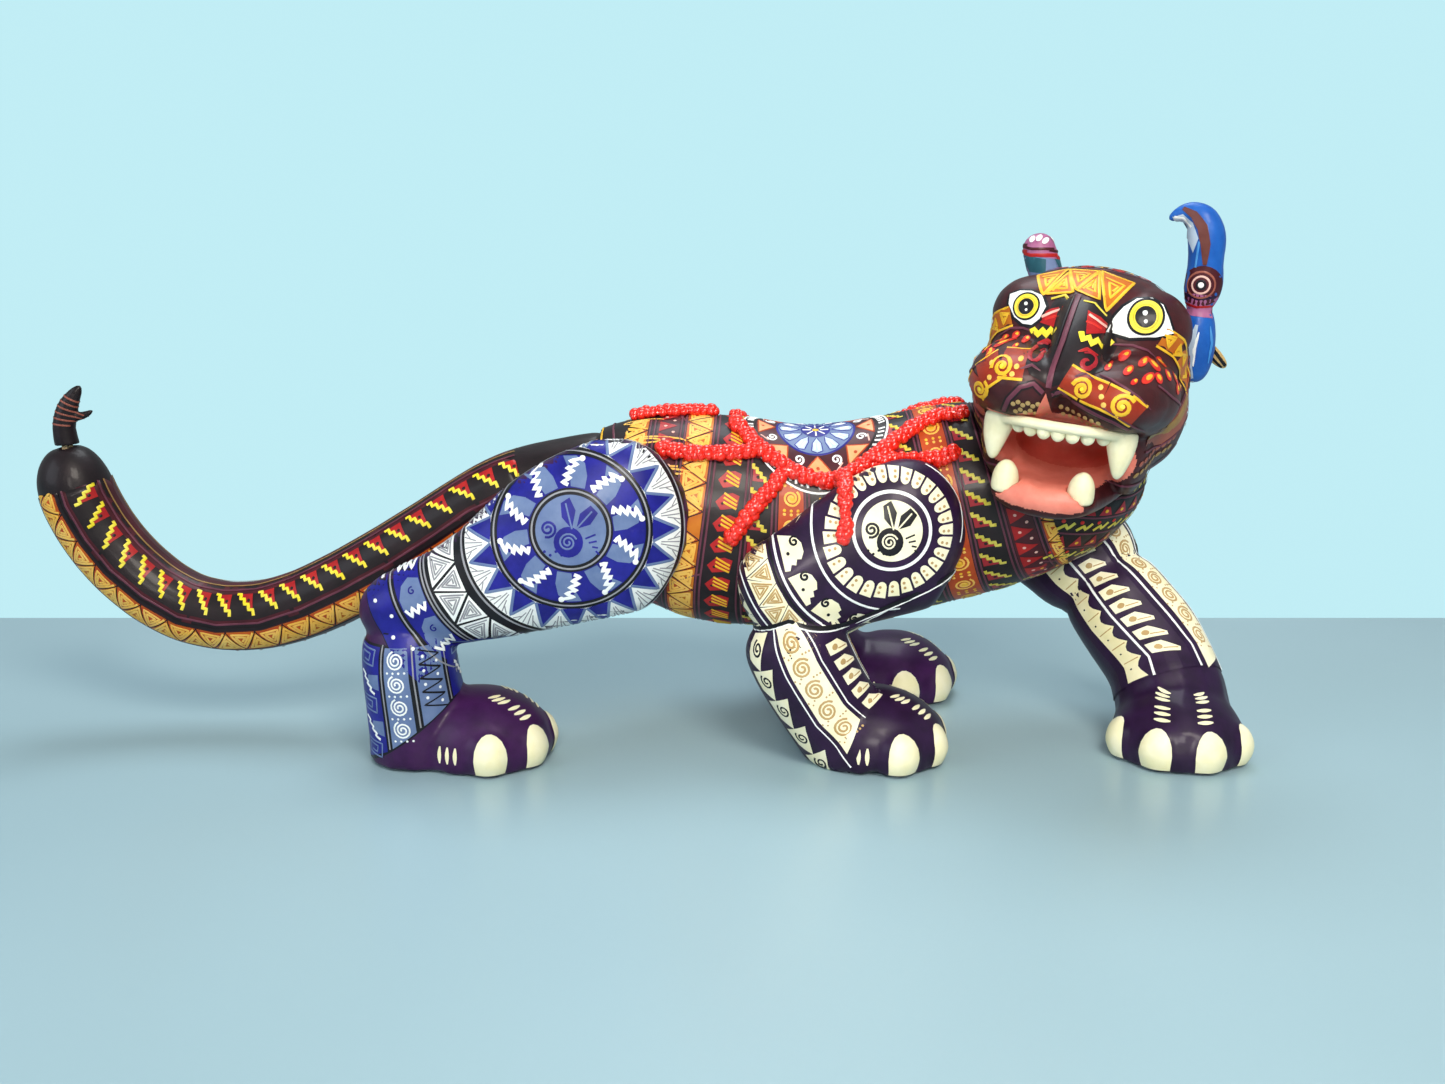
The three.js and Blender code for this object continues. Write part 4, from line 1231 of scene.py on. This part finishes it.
def paintHead():
    tree = skinTrees["head"]
    painter = Painter("headPaint", "figure")
    face = headChart(tree)
    painter.fill(face, [(-14, 36), (6, 37), (12, 30), (15, 20), (13, 11), (5, 7), (-6, 2), (-15, 6), (-20, 13),
                        (-18, 24)], "nightBrown", 2)
    leftAlmond = [(-17.2, 31.5), (-18.6, 26.4), (-21.5, 23.4), (-25.6, 23.2), (-30, 25.6), (-33.6, 30.4),
                  (-34, 34.4), (-30, 36.4),
                  (-25, 37), (-20.4, 35.8)]
    rightAlmond = [(9.6, 25.4), (11, 30.6), (14, 35.6), (18.6, 39.4), (24.4, 40.4), (29.4, 38.2),
                   (32.6, 33.4), (35.6, 27.6),
                   (29, 25.2), (19, 23.8)]
    paintEye(painter, face, -25.6, 30.4, 5.8, leftAlmond)
    paintEye(painter, face, 23.6, 32.6, 7.5, rightAlmond)
    # brow: gold triangles with spirals
    for tri in ([(-25, 43.5), (-13.5, 47.5), (-20, 36)], [(-19, 36.6), (-12, 46.8), (-7.5, 39)],
                [(-12.5, 47.6), (0, 48.5), (-6.6, 40.2)],
                [(-6, 40), (0.6, 48.2), (4, 37.6)], [(1.4, 48.6), (15.6, 45.4), (7.8, 33.4)]):
        painter.fill(face, inset(tri, 1.04), "marigold", 3, 1.8)
        painter.line(face, tri, 1.3, "gold", 5, closed=True)
        painter.line(face, cornerSpiral(inset(tri, 0.62), 2.2), 1.1, "gold", 5)
    painter.line(face, [(-16, 35), (-10.5, 37.4), (-8.6, 36)], 1.2, "oldYellow", 5)
    painter.line(face, [(-1.6, 36.4), (3, 36), (8.6, 31.6)], 1.2, "oldYellow", 5)
    # the two sides of the nose bridge: red flames and yellow steps
    for side, shift in ((-1, -9.0), (1, 0.6)):
        place = shifted(face, shift, 0, side, 1)
        painter.fill(place, [(0.6, 33), (6, 31), (10.5, 27.5), (9, 25), (2.4, 24)], "bloodRed", 3, 1.6)
        painter.line(place, [(1.6, 31.5), (5, 29.8), (9, 27.4)], 1.4, "palePink", 5)
        painter.line(place, [(1.2, 28.8), (4, 28.2), (7.4, 26.6)], 1.3, "chileRed", 5)
        steps = [(0.4, 24.6), (1.8, 21.4), (4.0, 23.2), (5.2, 20.2), (7.4, 22.4), (8.8, 19.8),
                 (11, 21.8), (12.4, 20.6)]
        painter.line(place, steps, 2.4, "sunYellow", 6)
        painter.line(place, curl(5.6, 13.4, 4.0, 1.2, 120, -1), 2.2, "maroonRed", 5, taper=True)
        painter.line(place, [(1.2, 17), (4.4, 18.4), (8.6, 16.4)], 1.8, "bloodRed", 5, taper=True)
        painter.line(place, [(2.2, 7.6), (6.0, 9.4), (10, 7.4)], 1.6, "plumEdge", 5, taper=True)
    painter.line(face, [(-4.4, 38), (-4.7, 29), (-5.2, 19), (-6.2, 10), (-7.0, 1.5)], 2.4, "plumEdge", 9)
    painter.line(face, [(-6.2, 37), (-6.7, 28), (-7.2, 18)], 0.8, "ink", 8)
    for x, y, size in ((18.7, 16.8, 2.0), (22.6, 12.4, 1.5), (27.0, 15.6, 1.5), (30.6, 10.4, 1.8),
                       (14.6, 12.6, 1.2), (26.0, 8.8, 1.1),
                       (-22.5, 17.6, 1.3), (-27.6, 18.4, 1.5), (-32.4, 16.4, 1.3), (-25.0, 14.8, 1.0),
                       (-35.0, 11.4, 1.2)):
        painter.dot(face, x, y, size, "chileRed", 4, 1.35, 40)
        painter.dot(face, x + 0.3, y + 0.3, size * 0.56, "gold", 6, 1.2, 40)
    for path in ([(10, 20.4), (15, 20.6), (21, 21), (27, 19.6), (33, 15)],
                 [(12, 9.6), (17, 8.6), (23, 6.4), (29, 3.4), (34, -1)],
                 [(-19, 20.6), (-25, 21.6), (-31, 20.6), (-36, 16)],
                 [(16, -2.4), (22, -5.4), (28, -8.4), (33, -11)]):
        painter.line(face, path, 1.2, "plumEdge", 5, taper=True)
    # muzzle: scroll bands, moustache ridges, freckles and the pink notch in the lip
    scrollBand(painter, face, [(-17.5, 9), (-27.5, 8.4), (-35.6, 1), (-38, -6)], 11.0,
               [(-26.5, 7.2, 4.6, 200, -1), (-34.5, -3.4, 4.2, 60, -1)])
    scrollBand(painter, face, [(-1, 7), (7.6, 3.4), (16, 1.8), (24, -0.6), (30, -4.4)], 10.4,
               [(6.6, 3.0, 4.4, 160, -1), (23.6, -1.0, 4.8, 30, 1)])
    for x, y in ((14, 5), (15, 1.6), (16.4, -1.4), (-20, 11), (-20.6, 8), (-21.6, 5), (-31.4, 7.6), (-30.6, 2.2)):
        painter.dot(face, x, y, 1.1, "paleOrange", 6)
    for path in ([(-8.6, -0.6), (-12.6, 2.6), (-17.4, 0.6), (-21.4, -5), (-23.4, -10.6)],
                 [(-5.4, -1.2), (-1.4, 1.0), (3.4, -2.6), (12, -5.2), (21, -7.8), (27, -10.6)]):
        painter.line(face, path, 3.4, "nightBrown", 4)
        painter.line(face, path, 1.8, "plumEdge", 6)
    for k in range(7):
        painter.dot(face, -19.4 + 1.9 * k, -6.6 + 1.1 * (k % 2), 1.0, "tan", 5)
        painter.dot(face, -18.4 + 1.9 * k, -9.8 + 1.1 * (k % 2), 1.0, "tan", 5)
        painter.dot(face, -1.6 + 2.8 * k, -6.2 - 0.55 * k, 1.0, "tan", 5)
        painter.dot(face, -0.6 + 2.8 * k, -9.4 - 0.4 * k, 1.0, "tan", 5)
    painter.fill(face, [(-7.6, -0.6), (-9.2, -5), (-11.4, -11.5), (-4.2, -12.4), (-6.0, -5)], "gumPink", 6, 1.4)
    painter.line(face, [(-31, -11.6), (-22, -12.2), (-11.4, -11.8), (-4, -12.4), (8, -13), (20, -13.6),
                        (30, -13.2)], 2.0, "gumPink", 5)
    # cheeks on both sides: gold spiral band under the eye, flame dabs, tan jaw band, rows of dots
    for side, turn in ((1, 40), (-1, -40)):
        cheek = shifted(headChart(tree, turn), 0, 0, side, 1)
        run = [(2, 25.5), (12, 21.5), (21, 14), (29, 5)]
        painter.line(cheek, run, 8.6, "marigold", 3)
        for edge in (-4.3, 4.3):
            painter.line(cheek, [(x + edge * 0.5, y + edge * 0.86) for x, y in run], 1.1, "gold", 5)
        for k, (x, y) in enumerate(((6, 24), (12.6, 21), (18.4, 16.4), (24, 11))):
            tri = [(x - 3.4, y - 2.4), (x + 3.4, y - 2.8),
                   (x, y + 3.4)] if k % 2 else [(x - 3.2, y + 2.6), (x + 3.4, y + 2.2), (x, y - 3.6)]
            painter.line(cheek, cornerSpiral(tri, 2.4), 1.0, "gold", 6)
        for k, (x, y) in enumerate(((-8, 15), (-3, 11.6), (0.4, 15.8), (4.6, 10.4), (-11, 10.6),
                                    (8.6, 6.6), (2.6, 6.4))):
            painter.dot(cheek, x, y, 1.9 - 0.18 * (k % 3), "chileRed", 3, 1.5, 30)
            painter.dot(cheek, x + 0.2, y + 0.2, 1.0, "gold", 5, 1.3, 30)
        painter.line(cheek, [(-14, 8), (-4, 3.4), (6, 0), (16, -2)], 1.3, "plumEdge", 4)
        painter.line(cheek, [(-2, -17), (10, -15), (20, -9), (28, -2)], 9.0, "rosewood", 3)
        painter.line(cheek, [(-2, -15.6), (10, -13.4), (20, -7.4), (28, -0.4)], 4.2, "bronze", 5)
        for edge in (-5.2, 5.2):
            painter.line(cheek, [(-2, -17 + edge), (10, -15 + edge), (20 - edge * 0.3, -9 + edge),
                                 (28 - edge * 0.4, -2 + edge)], 1.0,
                         "plumEdge", 5)
        for k in range(8):
            painter.dot(cheek, -3 + 3.2 * k, -27 + 1.5 * k, 1.1, "rosewood", 4, 1.5, 40)
            painter.dot(cheek, -4 + 3.2 * k, -32 + 1.6 * k, 1.1, "bronze", 4, 1.5, 40)
        painter.line(cheek, [(-8, -38), (4, -36), (16, -30), (26, -20)], 1.6, "plumEdge", 4)
        painter.line(cheek, [(-6, -43), (6, -41), (17, -36)], 1.2, "maroon", 4)
    for turn in (105, -105):
        temple = headChart(tree, turn)
        for radius, tone in ((5.4, "gold"), (14.6, "plumEdge"), (19, "bloodRed")):
            painter.line(temple, circle(radius, 48, 0, 360, 0, 4), 1.2, tone, 3, closed=True)
        painter.line(temple, curl(0, 4, 4.2, 1.8, 0), 1.3, "sunYellow", 4)
        for k in range(10):
            tri = [(x, y + 4) for x, y in (polar(6.8, 36 * k - 14), polar(6.8, 36 * k + 14), polar(13.4, 36 * k))]
            painter.fill(temple, tri, ("chileRed", "marigold")[k % 2], 2, 2.0)
            x, y = polar(22.6, 36 * k + 10)
            painter.dot(temple, x, y + 4, 1.2, "paleOrange", 3)
    # crown and back of the head
    crown = flatChart(tree, headMiddle, headTurn @ Vector((0, 0.25, 1)), headTurn @ Vector((1, 0, 0)))
    for radius in (9, 20, 31):
        painter.line(crown, circle(radius, 60, 0, 360, 0, 6), 1.2, "plumEdge", 3, closed=True)
    for k in range(12):
        a = 30 * k
        tri = [(x, y + 6) for x, y in (polar(19, a - 11), polar(19, a + 11), polar(10.4, a))]
        painter.fill(crown, tri, "marigold", 2, 2.0)
        painter.line(crown, cornerSpiral(inset(tri, 0.72), 2.2), 0.9, "gold", 4)
        x, y = polar(25.4, a + 15)
        painter.line(crown, curl(x, y + 6, 3.4, 1.7, a), 1.2, "bloodRed", 3)
        painter.dot(crown, *[c + d for c, d in zip(polar(25.4, a), (0, 6))], 1.0, "paleOrange", 3)
    back = headChart(tree, 180)
    for row in range(4):
        for k in range(9):
            x = -32 + 8 * k
            tri = [(x - 3.6, 14 - 11 * row), (x + 3.6, 14 - 11 * row), (x, 21 - 11 * row)]
            painter.fill(back, tri, ("bloodRed", "marigold")[row % 2], 2, 2.0)
            painter.line(back, cornerSpiral(inset(tri, 0.7), 2.2), 0.8, ("gold", "paleOrange")[row % 2], 4)
        painter.line(back, [(-36 + 6 * k, 12 - 11 * row) for k in range(13)], 1.1, "plumEdge", 3)
    painter.finish()


# Mouth lining: salmon lips and floor, with a darker red on the back wall deep in the mouth as painted shade
def lineMouth(piece):
    lining = {"gumPink": len(piece.data.materials), "throatShadeRed": len(piece.data.materials) + 1}
    for name in lining:
        piece.data.materials.append(pot(name))
    back = headTurn.inverted()
    for face in piece.data.polygons:
        p = back @ (face.center - headMiddle) * 1000
        n = back @ face.normal
        deep = min(1.0, max(0.0, (-p.y - 12) / 22)) * 0.6 + min(1.0, max(0.0, (-p.y - 34) / 40)) * 0.4
        wide, tall, middle = 22.6 + 12 * deep, 9.4 + 9.5 * deep, -24 - 3 * min(1.0, deep * 1.7)
        inside = p.y > -70 and (p.x / wide) ** 2 + ((p.z - middle) / tall) ** 2 < 1.0
        lip = p.y < -48 and -51.5 < p.z < -36 and abs(p.x + 4) < 18.5 and (n.z > -0.5 or p.y < -66)
        # faces at the back of the mouth take the darker red: painted shade deep in the throat
        if inside and p.y > -26:
            face.material_index = lining["throatShadeRed"]
        elif inside or lip:
            face.material_index = lining["gumPink"]
    print("lined the mouth")


def makeTeeth():
    for node, name in (("upper_teeth", "upperTeeth"), ("lower_canine_right", "rightCanine"),
                       ("lower_canine_left", "leftCanine")):
        carveSkin(node, name, "figure", "toothCream", 0.6, 4, 2)
    row = bmesh.new()
    for k in range(7):
        angle = (k - 3) / 3
        x = 17.5 * angle
        y = -69.2 + 9.5 * abs(angle) ** 2.6
        bump = bmesh.ops.create_icosphere(row, subdivisions=3, radius=1.0)["verts"]
        for v in bump:
            v.co = headTurn @ Vector((x + v.co.x * 3.0, y + v.co.y * 2.3,
                                      -16.6 + v.co.z * 3.4)) / 1000 + headMiddle
    mesh = bpy.data.meshes.new("incisors")
    row.to_mesh(mesh)
    row.free()
    mesh.polygons.foreach_set("use_smooth", [True] * len(mesh.polygons))
    mesh.materials.append(pot("toothCream"))
    piece = bpy.data.objects.new("incisors", mesh)
    bpy.context.scene.collection.objects.link(piece)
    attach(piece, "figure")
    print("set the teeth")


def paintBird():
    tree = skinTrees["bird"]
    painter = Painter("birdPaint", "ear_left_piece")
    for turn, side in ((0, 1), (180, -1)):
        chart = shifted(headChart(tree, turn), 0, 0, side, 1)
        painter.fill(chart, circle(8.6, 24, 0, 360, 42.6, 47.6), "maroon", 1, 1.8)
        painter.fill(chart, [(35, 44), (50, 44), (50, 34.5), (37, 34.5)], "orchid", 1, 1.8)
        painter.line(chart, [(36, 39.5), (42, 38.4), (49, 39.6)], 1.2, "bloodRed", 2)
        painter.line(chart, [(36, 43.4), (42, 42), (49, 43.6)], 1.4, "aubergine", 2)
        for radius, tone in ((5.6, "rosewood"), (3.6, "palePink"), (1.8, "ink")):
            painter.line(chart, circle(radius, 24, 0, 360, 42.2, 48), 0.9, tone, 3, closed=True)
        painter.dot(chart, 42.2, 48, 1.2, "chalk", 4)
        painter.line(chart, [(29, 79), (34, 76.8), (38.4, 72), (41, 65), (42.2, 56.4)], 4.4, "cocoa",
                     2, taper=True)
        painter.fill(chart, [(25.1, 74.9), (29.4, 76.6), (34.3, 73.4), (37.7, 67.2), (36.6, 61), (33.6, 66),
                             (28, 71.2)], "paleSlate", 3, 1.2)
        painter.line(chart, [(26, 75), (30, 75), (34, 71.4)], 1.2, "chalk", 4)
        painter.line(chart, [(38.2, 66), (38.4, 60), (38.6, 55)], 1.0, "skyBlue", 3)
        painter.line(chart, [(43.6, 31), (42.6, 22), (43.4, 13), (46, 5.6)], 3.6, "paleSlate", 2, taper=True)
        painter.line(chart, [(45.0, 28), (44.4, 21), (45.2, 13)], 1.5, "chalk", 3, taper=True)
        painter.line(chart, [(49, 31), (51, 24), (51, 15)], 1.8, "skyBlue", 2, taper=True)
    painter.finish()
    featherPainter = Painter("featherPaint", "ear_left_piece")
    for turn, side in ((0, 1), (180, -1)):
        chart = shifted(headChart(skinTrees["feather"], turn), 0, 0, side, 1)
        featherPainter.line(chart, [(50, 23), (54, 18.6), (59, 13.4)], 1.4, "ink", 1)
        featherPainter.line(chart, [(50, 20), (53, 16.2), (57.6, 12.6)], 1.2, "ink", 1)
    featherPainter.finish()


def paintEar():
    painter = Painter("earPaint", "ear_right_piece")
    for turn in (0, 120, 240):
        chart = headChart(skinTrees["ear"], turn)
        middle = -29 * math.cos(math.radians(turn)) + 9.7 * math.sin(math.radians(turn))
        painter.fill(chart, [(middle - 9, 40), (middle + 11, 40), (middle + 8, 51), (middle - 12, 51)],
                     "slateBlue", 1, 1.8)
        painter.fill(chart, [(middle - 7, 44), (middle + 4, 44), (middle + 3, 50.4), (middle - 7, 51)],
                     "teal", 2, 1.8)
        painter.line(chart, [(middle - 12, 52.4), (middle - 4, 51.4), (middle + 8, 52.8)], 1.6, "bloodRed", 3)
        painter.line(chart, [(middle - 12, 55.0), (middle - 4, 54.2), (middle + 8, 55.6)], 1.2, "maroon", 3)
        for k in range(6):
            painter.dot(chart, middle - 10.4 + 2.9 * k, 58.4 + 0.8 * (k % 2), 1.2, "chalk", 3, 1.3, 60)
    painter.finish()


def bareCopal():
    # unpainted pins: pale straw wood, matt, with a fine grain; a noise scale of 420 per metre makes it 2.4 mm wide
    material, tree, where = newMaterial("bare_copal_wood")
    grain = addNode(tree, "ShaderNodeTexNoise", inputs={"Scale": 420, "Detail": 5}, links={"Vector": where})
    tone = addNode(tree, "ShaderNodeMix", {"data_type": "RGBA"},
                   {"A": linearColour("#c9a878"), "B": linearColour("#e0c69c")},
                   {"Factor": grain.outputs["Fac"]})
    bump = addNode(tree, "ShaderNodeBump", inputs={"Strength": 0.3, "Distance": 0.0002},
                   links={"Height": grain.outputs["Fac"]})
    skin = addNode(tree, "ShaderNodeBsdfPrincipled", inputs={"Roughness": 0.72, "IOR": 1.5},
                   links={"Base Color": tone.outputs["Result"], "Normal": bump.outputs["Normal"]})
    closeMaterial(tree, skin.outputs["BSDF"])
    return material


def finishPins():
    wood = bareCopal()
    for name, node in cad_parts.items():
        if "dowel" in name or "peg" in name:
            if not node.material_slots:
                node.data.materials.append(wood)
            for holder in node.material_slots:
                holder.material = wood
    print("left the pins bare")


lineMouth(skins["head"])
paintHead()
makeTeeth()
paintBird()
paintEar()
finishPins()
